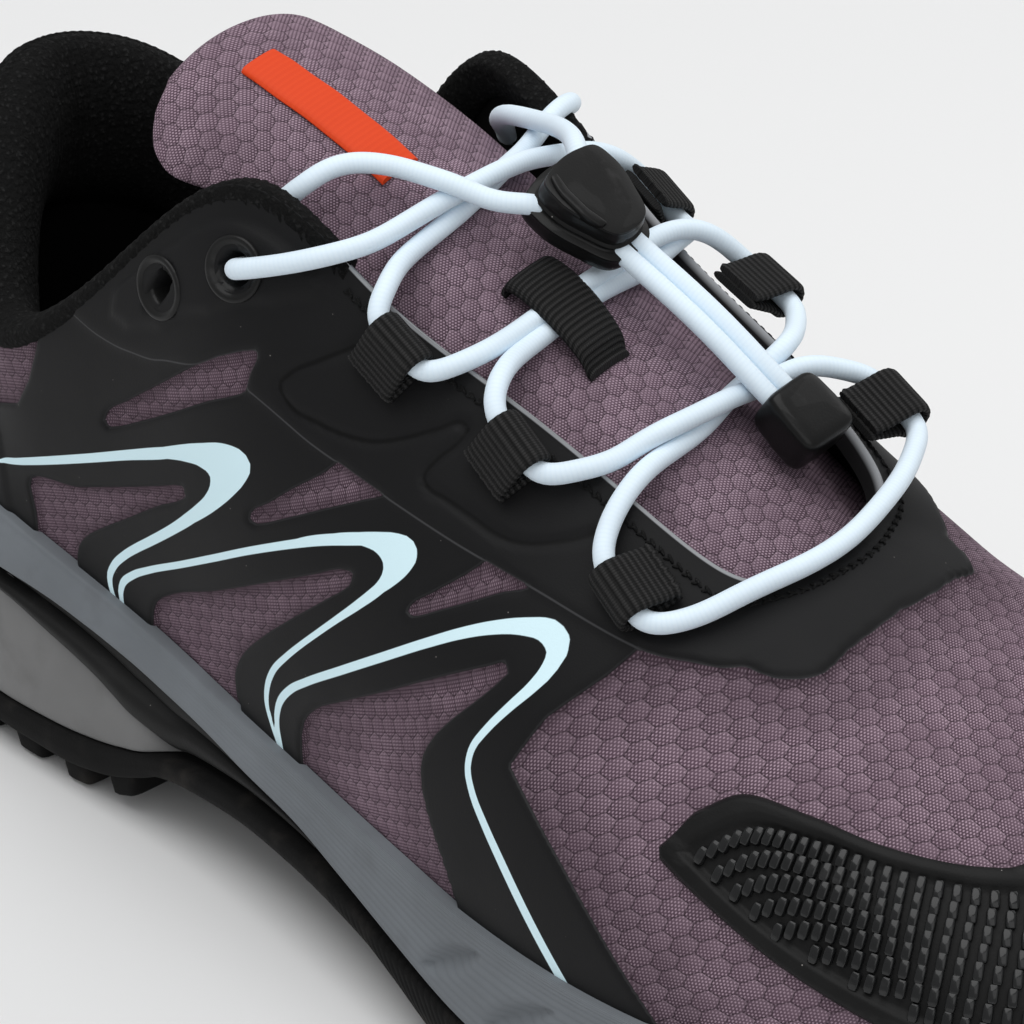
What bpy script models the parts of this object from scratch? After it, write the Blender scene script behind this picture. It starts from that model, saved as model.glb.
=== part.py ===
"""Right outdoor shoe with a drawcord lacing, built from the sections of its last.

All sizes are millimetres and are turned into metres when a mesh is made. X runs
from heel to toe, Y to the wearer's left, Z up from the floor. The upper is one
wall: a meridian rises from the sole to the topline at every place around the foot,
and each overlay, pad and seam is worked out from that same wall.
"""
import math

import bmesh
import bpy
import numpy as np

MM = 0.001
GAP = 0.3

# Driving sizes of the last and the sole.
LENGTH = 291.0
BALL_WIDTH = 94.0
INSTEP_HEIGHT = 119.0
HEEL_HEIGHT = 108.0
WALL = 2.0
FILM = 0.8
FILM_GAP = 0.55
LUG_DEPTH = 4.5
INSOLE_THICK = 3.5
CORD = 3.2
CORD_CLEAR = 0.5 * CORD + 0.6
WEBBING = 9.0
EYELET_HOLE = 5.0

# Steps of the meshes round the foot and up the wall.
STEPS_PER_ROW = 2.5
WALL_STEPS = 6

# The last, one meridian a row, toe to heel along the outer side and back along the
# inner side. Foot x and top x in percent of LENGTH, foot y and top y in percent of
# BALL_WIDTH, top z in percent of INSTEP_HEIGHT, or of HEEL_HEIGHT where heel is 1.
# Flare: sole base beyond the foot. Lean and slope: degrees of the wall's lower end
# from upright and of its upper end below level. Low and high: handle lengths as a
# share of the straight rise.
LAST_COLUMNS = ("foot_x", "foot_y", "flare", "top_x", "top_y", "top_z", "heel",
                "lean", "slope", "low", "high")
LAST = (
    # foot_x foot_y flare top_x top_y top_z heel lean slope low high
    (98.3, 8.5, 5.5, 67.7, 2.1, 66.4, 0, 4, 21, 0.36, 0.46),
    (94.8, -22.3, 5.5, 67.7, -4.3, 66.2, 0, 6, 23, 0.36, 0.44),
    (86.6, -41.5, 5.5, 67.4, -9.6, 66.0, 0, 7, 27, 0.37, 0.42),
    (73.9, -50.0, 5.5, 65.3, -15.4, 67.2, 0, 8, 34, 0.38, 0.40),
    (62.9, -50.0, 5.5, 58.4, -18.6, 74.8, 0, 8, 41, 0.38, 0.36),
    (52.9, -45.7, 4.5, 51.5, -21.6, 81.9, 0, 7, 47, 0.36, 0.36),
    (43.0, -41.5, 4.0, 44.3, -25.5, 90.3, 0, 6, 55, 0.34, 0.36),
    (34.4, -38.8, 4.0, 37.2, -31.9, 100.0, 0, 5, 68, 0.32, 0.34),
    (27.5, -37.8, 5.0, 28.6, -38.3, 92.0, 1, 4, 84, 0.32, 0.34),
    (20.3, -37.2, 5.5, 19.2, -39.6, 74.6, 1, 4, 92, 0.34, 0.34),
    (12.4, -34.6, 6.0, 13.4, -30.4, 83.0, 1, 5, 94, 0.34, 0.34),
    (5.2, -22.9, 6.0, 9.6, -17.0, 97.0, 1, 7, 96, 0.34, 0.34),
    (2.6, 0.0, 6.0, 7.2, 0.0, 101.0, 1, 8, 97, 0.34, 0.34),
    (5.2, 22.9, 6.0, 9.6, 17.4, 97.8, 1, 7, 96, 0.34, 0.34),
    (12.4, 33.5, 5.5, 13.8, 31.2, 86.4, 1, 5, 94, 0.34, 0.34),
    (20.3, 34.6, 5.0, 20.0, 39.4, 78.4, 1, 5, 92, 0.34, 0.34),
    (27.5, 34.0, 4.5, 27.4, 37.4, 93.0, 1, 5, 84, 0.32, 0.34),
    (34.4, 33.5, 3.5, 34.4, 32.4, 100.8, 0, 7, 68, 0.32, 0.34),
    (43.0, 33.5, 3.0, 43.6, 29.3, 92.4, 0, 11, 55, 0.34, 0.36),
    (52.9, 38.3, 3.5, 51.5, 25.5, 84.2, 0, 11, 47, 0.36, 0.36),
    (63.6, 46.8, 5.0, 59.1, 22.9, 77.5, 0, 9, 40, 0.38, 0.37),
    (73.9, 51.1, 5.5, 65.5, 19.1, 70.0, 0, 8, 32, 0.38, 0.40),
    (85.9, 46.3, 5.5, 67.4, 11.7, 67.4, 0, 7, 26, 0.37, 0.42),
    (94.8, 31.9, 5.5, 67.7, 6.9, 66.8, 0, 6, 23, 0.36, 0.44),
)

# The sole in side view, one station a row: x in percent of LENGTH, then heights:
# tread, top of the outsole, top of the heel block, underside and rim of the
# midsole, bed under the foot.
SOLE_COLUMNS = ("x", "tread", "out_top", "block_top", "mid_low", "rim", "bed")
SOLE = (
    # x tread out_top block_top mid_low rim bed
    (0.0, 3.5, 12.0, 34.0, 37.5, 51.5, 41.0),
    (6.5, 0.0, 10.5, 34.3, 37.2, 50.5, 40.5),
    (17.5, 0.0, 10.5, 34.2, 36.8, 45.4, 39.8),
    (22.5, 0.0, 11.2, 31.2, 36.3, 42.9, 39.0),
    (26.5, 1.5, 12.2, 28.0, 34.8, 40.9, 37.4),
    (30.0, 4.5, 13.6, 23.2, 32.6, 39.1, 35.2),
    (33.0, 9.0, 15.2, 18.6, 30.2, 37.4, 33.0),
    (36.5, 13.0, 17.4, 18.4, 27.8, 35.4, 30.6),
    (40.0, 14.5, 18.8, 19.0, 25.4, 33.8, 28.4),
    (44.5, 13.0, 18.2, 18.4, 23.4, 32.2, 26.2),
    (49.0, 9.5, 16.6, 16.8, 19.8, 30.8, 23.2),
    (53.5, 5.0, 14.4, 14.6, 16.4, 29.9, 20.6),
    (59.5, 0.0, 12.0, 12.2, 13.0, 29.0, 18.8),
    (66.0, 0.0, 10.6, 10.8, 11.4, 29.2, 18.0),
    (76.0, 0.0, 10.4, 10.6, 11.2, 30.4, 18.0),
    (86.0, 3.5, 12.5, 12.7, 13.3, 33.6, 19.6),
    (94.0, 10.0, 17.5, 17.7, 18.3, 37.2, 23.5),
    (100.0, 17.0, 23.5, 23.7, 24.3, 41.5, 28.5),
)

# Lugs: row numbers of the blocks round the rim with their length in rows and depth,
# then bars of the tread: x of the bar's front, its y, how far it reaches to each side.
EDGE_LUGS = (0.55, 1.15, 1.7, 2.2, 2.72, 3.28, 3.88, 9.15, 9.75, 10.35, 10.95, 11.6)
EDGE_LUG_ROWS = 0.34
EDGE_LUG_DEEP = 13.0
BAR_LUGS = ((262.0, 9.0, 17.0), (244.0, 6.0, 20.0), (226.0, 3.0, 22.0), (208.0, 1.0, 22.0), (190.0, 0.0, 20.0),
            (62.0, 0.0, 15.0), (46.0, 0.0, 15.0), (30.0, 0.0, 11.0))
# Leaf-shaped notches in the side of the midsole at the ball: x, height, half length, half height.
NOTCHES = ((171.0, 21.5, 8.0, 3.2), (187.0, 20.5, 8.0, 3.2))

# The tongue, front to tip: x in percent of LENGTH, y in percent of BALL_WIDTH, crown
# height, radius of the arch, half angle of the arch in degrees, thickness.
TONGUE_COLUMNS = ("x", "y", "crown", "radius", "half", "thick")
TONGUE = (
    # x y crown radius half thick
    (71.5, 2.0, 66.5, 36.0, 24, 2.2),
    (65.5, 2.6, 78.4, 32.0, 38, 2.8),
    (59.0, 2.8, 89.6, 30.0, 46, 3.4),
    (51.5, 2.4, 101.4, 29.0, 52, 4.0),
    (44.3, 1.0, 112.6, 29.0, 58, 5.0),
    (37.5, -1.4, 122.6, 31.0, 53, 6.5),
    (32.5, -4.0, 128.4, 32.0, 51, 7.0),
    (29.6, -6.0, 131.2, 31.0, 47, 6.0),
    (28.2, -6.8, 132.4, 30.0, 33, 3.6),
)

# Overlays on the outer side as outlines in side view (x, z): fabric windows cut out of
# the film, and the edge where the film ends on the vamp. The inner side uses the same.
WINDOWS = {
    "upper_rear": ((81.8, 73.6), (102.0, 90.0), (117.0, 99.5), (117.5, 92.0), (116.0, 89.3), (100.9, 82.0)),
    "upper_middle": ((117.6, 71.0), (127.0, 79.4), (135.6, 88.0), (139.8, 88.0), (143.4, 82.4), (131.5, 76.1)),
    "upper_front": ((151.5, 67.7), (157.4, 73.8), (163.3, 82.0), (167.0, 82.0), (169.8, 76.4), (161.7, 71.9)),
    "lower_rear": ((57.0, 51.5), (78.3, 60.0), (101.8, 69.4), (94.5, 62.9), (75.2, 49.0), (69.0, 38.0),
                   (65.0, 38.0)),
    "lower_middle": ((88.5, 36.0), (90.0, 42.1), (98.0, 49.1), (120.1, 61.0), (140.3, 69.1),
                     (132.1, 58.3), (113.0, 38.5), (112.5, 30.0), (90.0, 30.0)),
    "lower_front": ((128.6, 34.5), (130.6, 41.2), (137.4, 48.0), (156.8, 59.6), (171.5, 66.8),
                    (167.7, 58.6), (159.6, 46.8), (161.5, 39.3), (170.0, 27.0), (129.0, 27.0)),
    "collar_patch": ((36.0, 62.0), (55.0, 66.5), (62.5, 70.0), (64.5, 82.0), (60.0, 96.0), (36.0, 96.0)),
    "vamp_edge": ((190.0, 76.0), (185.9, 67.3), (181.9, 60.7), (178.0, 55.3), (182.3, 52.0), (190.4, 45.1),
                  (199.6, 38.4), (212.0, 28.0), (236.0, 28.0), (236.0, 76.0)),
}
# Eyestay: row number, how far its lower edge lies under the topline.
EYESTAY = ((0.0, 13.6), (0.84, 15.8), (1.34, 18.5), (1.71, 17.5), (2.24, 14.2), (2.77, 13.9), (3.28, 16.2),
           (3.85, 18.4), (4.66, 21.2), (5.65, 23.0), (6.1, 25.0), (6.6, 26.4), (7.2, 31.0), (7.6, 30.0),
           (8.0, 25.7))
# Toe cap: row number, lower and upper edge above the midsole's rim.
TOE_CAP = ((0.0, 0.8, 22.4), (1.0, 0.9, 24.4), (1.45, 2.5, 27.0), (1.8, 6.2, 28.3), (2.3, 12.4, 28.8),
           (2.66, 17.6, 26.7), (2.95, 21.6, 23.2))
# Heel counter: row number, upper edge above the midsole's rim.
COUNTER = ((9.5, 19.0), (10.2, 21.0), (11.0, 26.0), (12.0, 31.0))
# Eyelets: row number on the outer side, distance under the topline.
EYELETS = {"front": (6.84, 11.9), "rear": (7.47, 12.1)}
# Webbing loops: row number on the outer side, distance under the topline, height over
# the film, turn of the bore in degrees, and 1 where the fold points to the throat.
LOOPS = {
    ("lateral", "rear"): (5.59, 3.2, 0.0, -9.0, 1),
    ("lateral", "middle"): (4.51, 4.6, 0.0, -15.0, 1),
    ("lateral", "front"): (3.46, 11.7, 0.0, -15.0, -1),
    ("medial", "rear"): (5.79, 6.5, 0.0, 0.0, -1),
    ("medial", "middle"): (4.73, 6.5, 2.9, 0.0, -1),
    ("medial", "front"): (3.50, 6.5, 3.0, 0.0, -1),
}
LOOP_BORE = 2.0
LOOP_TAIL = 7.2
STRAP = 1.2
# Cord lock: middle, direction of its length, direction of its top.
LOCK_AT = (144.6, 5.4, 115.7)
LOCK_ALONG = (0.85, 0.17, -0.50)
LOCK_UP = (0.55, -0.12, 0.83)
LOCK_OUTLINE = ((-7.6, -3.6), (-6.4, -6.9), (-2.4, -7.8), (4.0, -6.4), (9.2, -3.7), (10.0, 0.0),
                (9.2, 3.7), (4.0, 6.4), (-2.4, 7.8), (-6.4, 6.9), (-7.6, 3.6))
LOCK_THICK = 6.4
END_AT = (182.0, 12.3, 91.4)
END_ALONG = (0.80, 0.10, -0.59)
# Strands of the lace over the tongue (x, y, z), from the outer side to the inner side. Each
# starts and ends in a loop, to its rear or to its front, or above a front eyelet.
STRANDS = (
    (("rear", "rear"), ("front", "eyelet"),
     ((134.1, -26.0, 108.4), (132.7, -23.2, 110.4), (128.6, -16.4, 109.7), (129.1, -12.8, 111.5),
      (129.6, -7.1, 113.3), (128.7, -1.4, 114.8), (126.0, 5.9, 115.8), (121.1, 17.0, 114.9),
      (117.7, 23.9, 116.0), (116.8, 28.4, 119.2), (113.4, 33.6, 118.6))),
    (("front", "eyelet"), ("rear", "rear"),
     ((117.2, -34.4, 110.2), (122.3, -31.4, 111.8), (127.8, -26.5, 113.9), (125.9, -14.8, 112.2),
      (128.0, -8.6, 113.8), (128.7, -0.9, 114.8), (127.0, 9.2, 114.6), (125.9, 20.0, 114.5),
      (126.1, 25.4, 113.4), (126.7, 30.3, 110.4))),
    (("rear", "front"), ("middle", "rear"),
     ((146.3, -24.7, 100.4), (148.8, -20.6, 102.1), (147.0, -11.9, 101.8), (147.8, -7.5, 103.1),
      (148.2, -0.6, 104.3), (146.0, 10.1, 104.7), (145.5, 16.2, 106.5), (145.8, 20.7, 107.1),
      (146.7, 26.0, 107.2), (148.6, 30.1, 104.6))),
    (("middle", "rear"), ("rear", "front"),
     ((153.1, -23.5, 98.1), (153.0, -20.9, 100.4), (149.2, -13.0, 100.0), (150.1, -7.4, 101.9),
      (149.4, -0.8, 103.7), (148.9, 4.0, 104.0), (146.0, 17.4, 102.2), (145.4, 24.4, 104.2),
      (143.8, 30.2, 104.0))),
    (("middle", "front"), ("front", "rear"),
     ((168.9, -22.1, 91.0), (171.7, -19.5, 92.0), (169.8, -10.9, 89.8), (172.3, -1.8, 91.1),
      (171.5, 13.1, 90.1), (172.0, 17.5, 92.0), (174.0, 18.5, 94.4), (175.3, 23.1, 94.4),
      (177.5, 27.2, 92.7))),
    (("front", "rear"), ("middle", "front"),
     ((176.8, -24.3, 84.7), (176.4, -21.1, 87.8), (174.9, -14.4, 90.0), (172.8, -7.3, 89.6),
      (173.1, -0.3, 90.8), (168.6, 14.3, 91.3), (171.1, 19.9, 96.4), (168.1, 26.5, 95.7))),
    (("front", "front"), ("front", "front"),
     ((192.2, -24.6, 76.6), (194.6, -22.0, 78.1), (196.7, -16.2, 80.2), (199.4, -7.6, 81.6),
      (199.5, 3.0, 82.3), (197.7, 12.7, 84.0), (194.8, 21.3, 84.8))),
)
# Free cord ends from the tabs to the lock.
OUTER_END = ((113.6, -22.6, 118.6), (115.2, -18.6, 120.8), (118.2, -14.5, 121.2), (122.0, -10.9, 119.9),
             (126.4, -9.0, 118.0), (130.6, -7.0, 116.7), (135.0, -5.4, 116.2))
INNER_END = ((111.5, 24.0, 114.0), (114.0, 22.0, 116.6), (117.5, 19.0, 118.6), (122.5, 16.2, 120.0),
             (128.0, 14.6, 120.6), (132.5, 13.4, 121.0))


def closed_spline(rows, at):
    """Smooth closed curve through evenly spaced rows, read at row numbers."""
    count = len(rows)
    ring = np.eye(count)
    system = 4 * ring + np.roll(ring, 1, 0) + np.roll(ring, -1, 0)
    bend = np.linalg.solve(system, 6 * (np.roll(rows, -1, 0) - 2 * rows + np.roll(rows, 1, 0)))
    first = np.floor(at).astype(int)
    t = (at - first)[..., None]
    first = first % count
    second = (first + 1) % count
    s = 1 - t
    return (s * rows[first] + t * rows[second]
            + (s ** 3 - s) * bend[first] / 6 + (t ** 3 - t) * bend[second] / 6)


def steady_curve(xs, ys, at):
    """Smooth curve through a table that never overshoots, so flats stay flat."""
    step = np.diff(xs)
    rise = np.diff(ys) / step
    slope = np.zeros(len(xs))
    same = rise[:-1] * rise[1:] > 0
    w1 = 2 * step[1:] + step[:-1]
    w2 = step[1:] + 2 * step[:-1]
    safe = np.where(same, rise[:-1], 1.0), np.where(same, rise[1:], 1.0)
    slope[1:-1] = np.where(same, (w1 + w2) / (w1 / safe[0] + w2 / safe[1]), 0.0)
    slope[0], slope[-1] = rise[0], rise[-1]
    at = np.clip(at, xs[0], xs[-1])
    k = np.clip(np.searchsorted(xs, at, side="right") - 1, 0, len(xs) - 2)
    h = step[k]
    t = (at - xs[k]) / h
    return (ys[k] * (1 + 2 * t) * (1 - t) ** 2 + slope[k] * h * t * (1 - t) ** 2
            + ys[k + 1] * t * t * (3 - 2 * t) + slope[k + 1] * h * t * t * (t - 1))


def last_rows():
    """The last's table in millimetres and radians."""
    rows = np.array(LAST, dtype=float)
    heel = rows[:, 6]
    rows[:, [0, 3]] *= LENGTH / 100
    rows[:, [1, 4]] *= BALL_WIDTH / 100
    rows[:, 5] *= (heel * HEEL_HEIGHT + (1 - heel) * INSTEP_HEIGHT) / 100
    rows[:, 7:9] = np.radians(rows[:, 7:9])
    return rows


LAST_MM = last_rows()
ROWS = len(LAST_MM)
SOLE_MM = np.array(SOLE, dtype=float) * ([LENGTH / 100] + [1.0] * (len(SOLE_COLUMNS) - 1))
TONGUE_MM = np.array(TONGUE, dtype=float) * [LENGTH / 100, BALL_WIDTH / 100, 1, 1, math.pi / 180, 1]


def sole_height(column, x):
    """Height of one line of the sole at x."""
    return steady_curve(SOLE_MM[:, 0], SOLE_MM[:, SOLE_COLUMNS.index(column)], x)


def plan(u, out=0.0):
    """Foot outline in plan at row number u, moved outwards by out."""
    u = np.asarray(u, dtype=float)
    place = closed_spline(LAST_MM[:, :2], u)
    ahead = closed_spline(LAST_MM[:, :2], u + 0.01) - closed_spline(LAST_MM[:, :2], u - 0.01)
    normal = np.stack([-ahead[..., 1], ahead[..., 0]], -1)
    normal /= np.linalg.norm(normal, axis=-1, keepdims=True)
    return place + normal * np.broadcast_to(out, u.shape)[..., None], normal


def meridian(u, v):
    """Point of the upper's outer face: v runs from 0 at the bed to 1 at the topline."""
    row = closed_spline(LAST_MM, u)
    place, normal = plan(u)
    foot = np.concatenate([place, (sole_height("bed", place[..., 0]) + GAP)[..., None]], -1)
    top = row[..., 3:6]
    rise = np.linalg.norm(top - foot, axis=-1)
    lean, slope = row[..., 7], row[..., 8]
    up = np.concatenate([normal * np.sin(lean)[..., None], np.cos(lean)[..., None]], -1)
    down = np.concatenate([normal * np.cos(slope)[..., None], -np.sin(slope)[..., None]], -1)
    low = foot + up * (row[..., 9] * rise)[..., None]
    high = top + down * (row[..., 10] * rise)[..., None]
    t = v[..., None]
    s = 1 - t
    return s ** 3 * foot + 3 * s * s * t * low + 3 * s * t * t * high + t ** 3 * top


def wall_normal(u, v):
    """Outward normal of the upper."""
    e = 0.01
    v = np.clip(v, e, 1 - e)
    along = meridian(u + e, v) - meridian(u - e, v)
    rise = meridian(u, v + e) - meridian(u, v - e)
    normal = np.cross(rise, along)
    return normal / np.linalg.norm(normal, axis=-1, keepdims=True)


def wall(u, v, out=0.0):
    """Point of the upper moved outwards by out; v beyond 1 goes on straight."""
    u, v, out = np.broadcast_arrays(np.asarray(u, float), np.asarray(v, float), np.asarray(out, float))
    inside = np.clip(v, 0.0, 1.0)
    return meridian(u, inside) + wall_normal(u, inside) * out[..., None]


def v_below_top(u, depth):
    """Share v of the places that lie depth under the topline along each meridian."""
    u = np.asarray(u, dtype=float)
    depth = np.broadcast_to(depth, u.shape)
    share = np.linspace(0.0, 1.0, 41)
    line = meridian(np.repeat(u.reshape(-1, 1), 41, 1), np.repeat(share[None], u.size, 0))
    length = np.concatenate([np.zeros((u.size, 1)),
                             np.cumsum(np.linalg.norm(np.diff(line, axis=1), axis=2), 1)], 1)
    found = [np.interp(run[-1] - d, run, share) for run, d in zip(length, depth.ravel())]
    return np.array(found).reshape(u.shape)


def v_at_height(u, height):
    """Share v of the places at a given height on each meridian."""
    u = np.asarray(u, dtype=float)
    height = np.broadcast_to(height, u.shape)
    share = np.linspace(0.0, 1.0, 41)
    line = meridian(np.repeat(u.reshape(-1, 1), 41, 1), np.repeat(share[None], u.size, 0))
    found = [np.interp(h, z, share) for z, h in zip(line[:, :, 2], height.ravel())]
    return np.array(found).reshape(u.shape)


def around(start=0.0, end=None, steps=STEPS_PER_ROW):
    """Row numbers round the foot, or along a part of it with both ends."""
    if end is None:
        return np.arange(round(ROWS * steps)) / steps
    low, high = min(start, end), max(start, end)
    inner = np.arange(math.floor(low * steps), math.ceil(high * steps) + 1) / steps
    inner = inner[(inner > low + 0.12) & (inner < high - 0.12)]
    line = np.concatenate([[low], inner, [high]])
    return line if start < end else line[::-1]


def material(name, colour, roughness, metallic=0.0):
    """Principled material, made once for each name."""
    found = bpy.data.materials.get(name)
    if found is None:
        found = bpy.data.materials.new(name)
        found.use_nodes = True
        shader = found.node_tree.nodes["Principled BSDF"]
        shader.inputs["Base Color"].default_value = (*colour, 1.0)
        shader.inputs["Roughness"].default_value = roughness
        shader.inputs["Metallic"].default_value = metallic
        found.diffuse_color = (*colour, 1.0)
    return found


def add_object(name, mesh, cutter=False):
    """Put a mesh into the shoe's collection, or into the cutters'."""
    piece = bpy.data.objects.new(name, mesh)
    piece.parent = ROOT
    if cutter:
        CUTTERS.objects.link(piece)
        piece.hide_render = True
        piece.display_type = "WIRE"
    else:
        SHOE.objects.link(piece)
    return piece


def mesh_object(name, points, faces, finish=None, cutter=False):
    """Closed body from points in millimetres, its faces turned outwards."""
    mesh = bpy.data.meshes.new(name)
    mesh.from_pydata((np.asarray(points) * MM).tolist(), [], faces)
    body = bmesh.new()
    body.from_mesh(mesh)
    bmesh.ops.recalc_face_normals(body, faces=body.faces)
    if body.calc_volume(signed=True) < 0:
        bmesh.ops.reverse_faces(body, faces=body.faces)
    body.to_mesh(mesh)
    body.free()
    if finish:
        mesh.materials.append(finish)
    return add_object(name, mesh, cutter)


def grid_faces(rows, columns, first=0, closed=False):
    """Quads of a grid of points, joined round when closed."""
    span = columns if closed else columns - 1
    return [(first + i * columns + j, first + i * columns + (j + 1) % columns,
             first + (i + 1) * columns + (j + 1) % columns, first + (i + 1) * columns + j)
            for i in range(rows - 1) for j in range(span)]


def shell(name, outer, inner, finish, closed=False, cutter=False):
    """Solid between two grids of the same size, open patch or closed ring."""
    rows, columns = outer.shape[:2]
    size = rows * columns
    points = np.concatenate([outer.reshape(-1, 3), inner.reshape(-1, 3)])
    faces = grid_faces(rows, columns, 0, closed) + grid_faces(rows, columns, size, closed)
    span = columns if closed else columns - 1
    for i in (0, rows - 1):
        for j in range(span):
            a = i * columns + j
            b = i * columns + (j + 1) % columns
            faces.append((a, b, size + b, size + a))
    if not closed:
        for j in (0, columns - 1):
            for i in range(rows - 1):
                a = i * columns + j
                b = (i + 1) * columns + j
                faces.append((a, b, size + b, size + a))
    return mesh_object(name, points, faces, finish, cutter)


def ladder(ring, first, looped):
    """Faces that close a ring by rungs from one side of the foot to the other."""
    order = [first + i for i in range(ring)]
    faces = []
    low, high = (1, ring - 1) if looped else (0, ring - 1)
    if looped:
        faces.append((order[0], order[low], order[high]))
    while high - low > 2:
        faces.append((order[low], order[low + 1], order[high - 1], order[high]))
        low, high = low + 1, high - 1
    if high - low == 2:
        faces.append((order[low], order[low + 1], order[high]))
    return faces


def stack(name, rings, finish, looped=True, cutter=False):
    """Solid through rings laid over one another, closed at both ends by rungs."""
    rings = np.asarray(rings)
    count, size = rings.shape[:2]
    faces = grid_faces(count, size, 0, True)
    faces += ladder(size, 0, looped)
    faces += ladder(size, (count - 1) * size, looped)
    return mesh_object(name, rings.reshape(-1, 3), faces, finish, cutter)


def boolean(piece, cutter, operation="DIFFERENCE"):
    """Exact Boolean of a piece with a cutter."""
    step = piece.modifiers.new(operation.title() + "_" + cutter.name, "BOOLEAN")
    step.operation = operation
    step.solver = "EXACT"
    step.object = cutter
    return step


def level(u, out, height):
    """Ring of the sole: plan outline moved out, at the height given for each x."""
    place, _ = plan(u, out)
    return np.concatenate([place, np.asarray(height(place[:, 0]))[:, None]], 1)


def sole_flare(u, share=1.0, extra=0.0):
    """How far the sole stands beyond the foot at each place."""
    return closed_spline(LAST_MM[:, 2:3], u)[..., 0] * share + extra


def sole_base(x):
    """Underside of the outsole between the lugs."""
    return np.minimum(sole_height("tread", x) + LUG_DEPTH, sole_height("out_top", x) - 4.0)


def lug_plans():
    """Four-cornered outlines of the lugs in plan: blocks round the rim, bars in between."""
    plans = []
    for middle in EDGE_LUGS:
        for side in (1, -1):
            u = np.array((-0.5, 0.5, 0.5, -0.5)) * EDGE_LUG_ROWS + (middle if side > 0 else ROWS - middle)
            inset = np.array((1.6, 1.6, EDGE_LUG_DEEP, EDGE_LUG_DEEP))
            plans.append(plan(u, sole_flare(u) - inset)[0])
    for x, shift, half in BAR_LUGS:
        for side in (1, -1):
            near = np.array((x, shift + side * 1.6))
            far = np.array((x - 7.0, shift + side * half))
            width = np.array((6.0, 0.0))
            plans.append(np.array((near, near + width, far + width, far)))
    return plans


def build_outsole(rubber):
    """Rubber tread: base that follows arch and toe spring, with lugs down to the ground."""
    u = around()
    def over(x):
        return sole_height("out_top", x)
    def middle(x):
        return 0.5 * (sole_base(x) + over(x))
    rings = [level(u, sole_flare(u, 1.0, -1.2), sole_base),
             level(u, sole_flare(u, 1.0, 0.6), middle),
             level(u, sole_flare(u, 1.0, 0.2), over)]
    outsole = stack("outsole", rings, rubber)
    points = []
    faces = []
    for corners in lug_plans():
        first = 8 * (len(points) // 2)
        low = corners.mean(0) + 0.86 * (corners - corners.mean(0))
        points.append(np.column_stack([low, sole_height("tread", low[:, 0])]))
        points.append(np.column_stack([corners, sole_base(corners[:, 0]) + 1.2]))
        faces += grid_faces(2, 4, first, True)
        faces += [tuple(range(first, first + 4)), tuple(range(first + 4, first + 8))]
    boolean(outsole, mesh_object("lugs", np.concatenate(points), faces, cutter=True), "UNION")
    return outsole


def build_heel_block(foam):
    """Flared foam block under the heel, tapering to the waist."""
    u = around(7.0, 17.0)
    def under(x):
        return sole_height("out_top", x) + GAP
    def over(x):
        return np.maximum(sole_height("block_top", x), under(x) + 1.5)
    def part(share):
        return lambda x: under(x) * (1 - share) + over(x) * share
    rings = [level(u, sole_flare(u, 0.95), under),
             level(u, sole_flare(u, 0.9), part(0.45)),
             level(u, sole_flare(u, 0.62), over)]
    return stack("heel_block", rings, foam, looped=False)


def build_waist_plate(plastic):
    """Black plate between midsole and heel block that carries the waist."""
    u = around(5 + 2 / 3, 18 + 1 / 3)
    def under(x):
        return np.maximum(sole_height("block_top", x), sole_height("out_top", x) + 2.0) + GAP
    def over(x):
        return np.maximum(sole_height("mid_low", x) - GAP, under(x) + 1.2)
    def part(share):
        return lambda x: under(x) * (1 - share) + over(x) * share
    rings = [level(u, sole_flare(u, 0.55), under),
             level(u, sole_flare(u, 0.72), part(0.4)),
             level(u, sole_flare(u, 0.45), part(0.6)),
             level(u, sole_flare(u, 0.5), over)]
    return stack("waist_plate", rings, plastic, looped=False)


def build_midsole(foam):
    """Foam midsole with a cupped bed that the upper stands in."""
    u = around()
    def low(x):
        return sole_height("mid_low", x)
    def rim(x):
        return sole_height("rim", x)
    def bed(x):
        return sole_height("bed", x)
    def part(share):
        return lambda x: low(x) * (1 - share) + rim(x) * share
    outer = [level(u, sole_flare(u, 0.9), low),
             level(u, sole_flare(u, 1.0, 0.2), part(0.12)),
             level(u, sole_flare(u, 0.72, 0.6), part(0.6))]
    edge = [part(0.94), rim]
    place = [plan(u)[0][:, 0]]
    for lift in edge:
        v = v_at_height(u, lift(place[0]))
        outer.append(wall(u, v, 2.6 if lift is not rim else 1.8))
    inner = []
    for share in (1.0, 0.0):
        height = rim(place[0]) * share + bed(place[0]) * (1 - share)
        v = v_at_height(u, height)
        ring = wall(u, v, GAP)
        if share == 0.0:
            ring[:, 2] = bed(ring[:, 0])
        inner.append(ring)
    midsole = stack("midsole", outer + inner, foam)
    for side in (-1, 1):
        for index, (x, height, half, rise) in enumerate(NOTCHES):
            row = np.linspace(2.0, 6.0, 81) if side < 0 else ROWS - np.linspace(2.0, 6.0, 81)
            rim_line, normal = plan(row, sole_flare(row, 0.9))
            k = int(np.argmin(np.abs(rim_line[:, 0] - x)))
            out = np.array((*normal[k], 0.0))
            along = np.array((normal[k][1], -normal[k][0], 0.0)) * -side
            slant = along * math.cos(0.6) + np.array((0.0, 0.0, math.sin(0.6)))
            rise_way = np.cross(out, slant)
            middle = np.array((*rim_line[k], height))
            points = [middle - slant * half, middle + rise_way * rise, middle + slant * half,
                      middle - rise_way * rise, middle - out * 2.2, middle + out * 3.0]
            faces = [(0, 1, 4), (1, 2, 4), (2, 3, 4), (3, 0, 4), (1, 0, 5), (2, 1, 5), (3, 2, 5), (0, 3, 5)]
            name = "notch_" + ("outer" if side < 0 else "inner") + str(index)
            boolean(midsole, mesh_object(name, points, faces, cutter=True))
    return midsole


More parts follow.
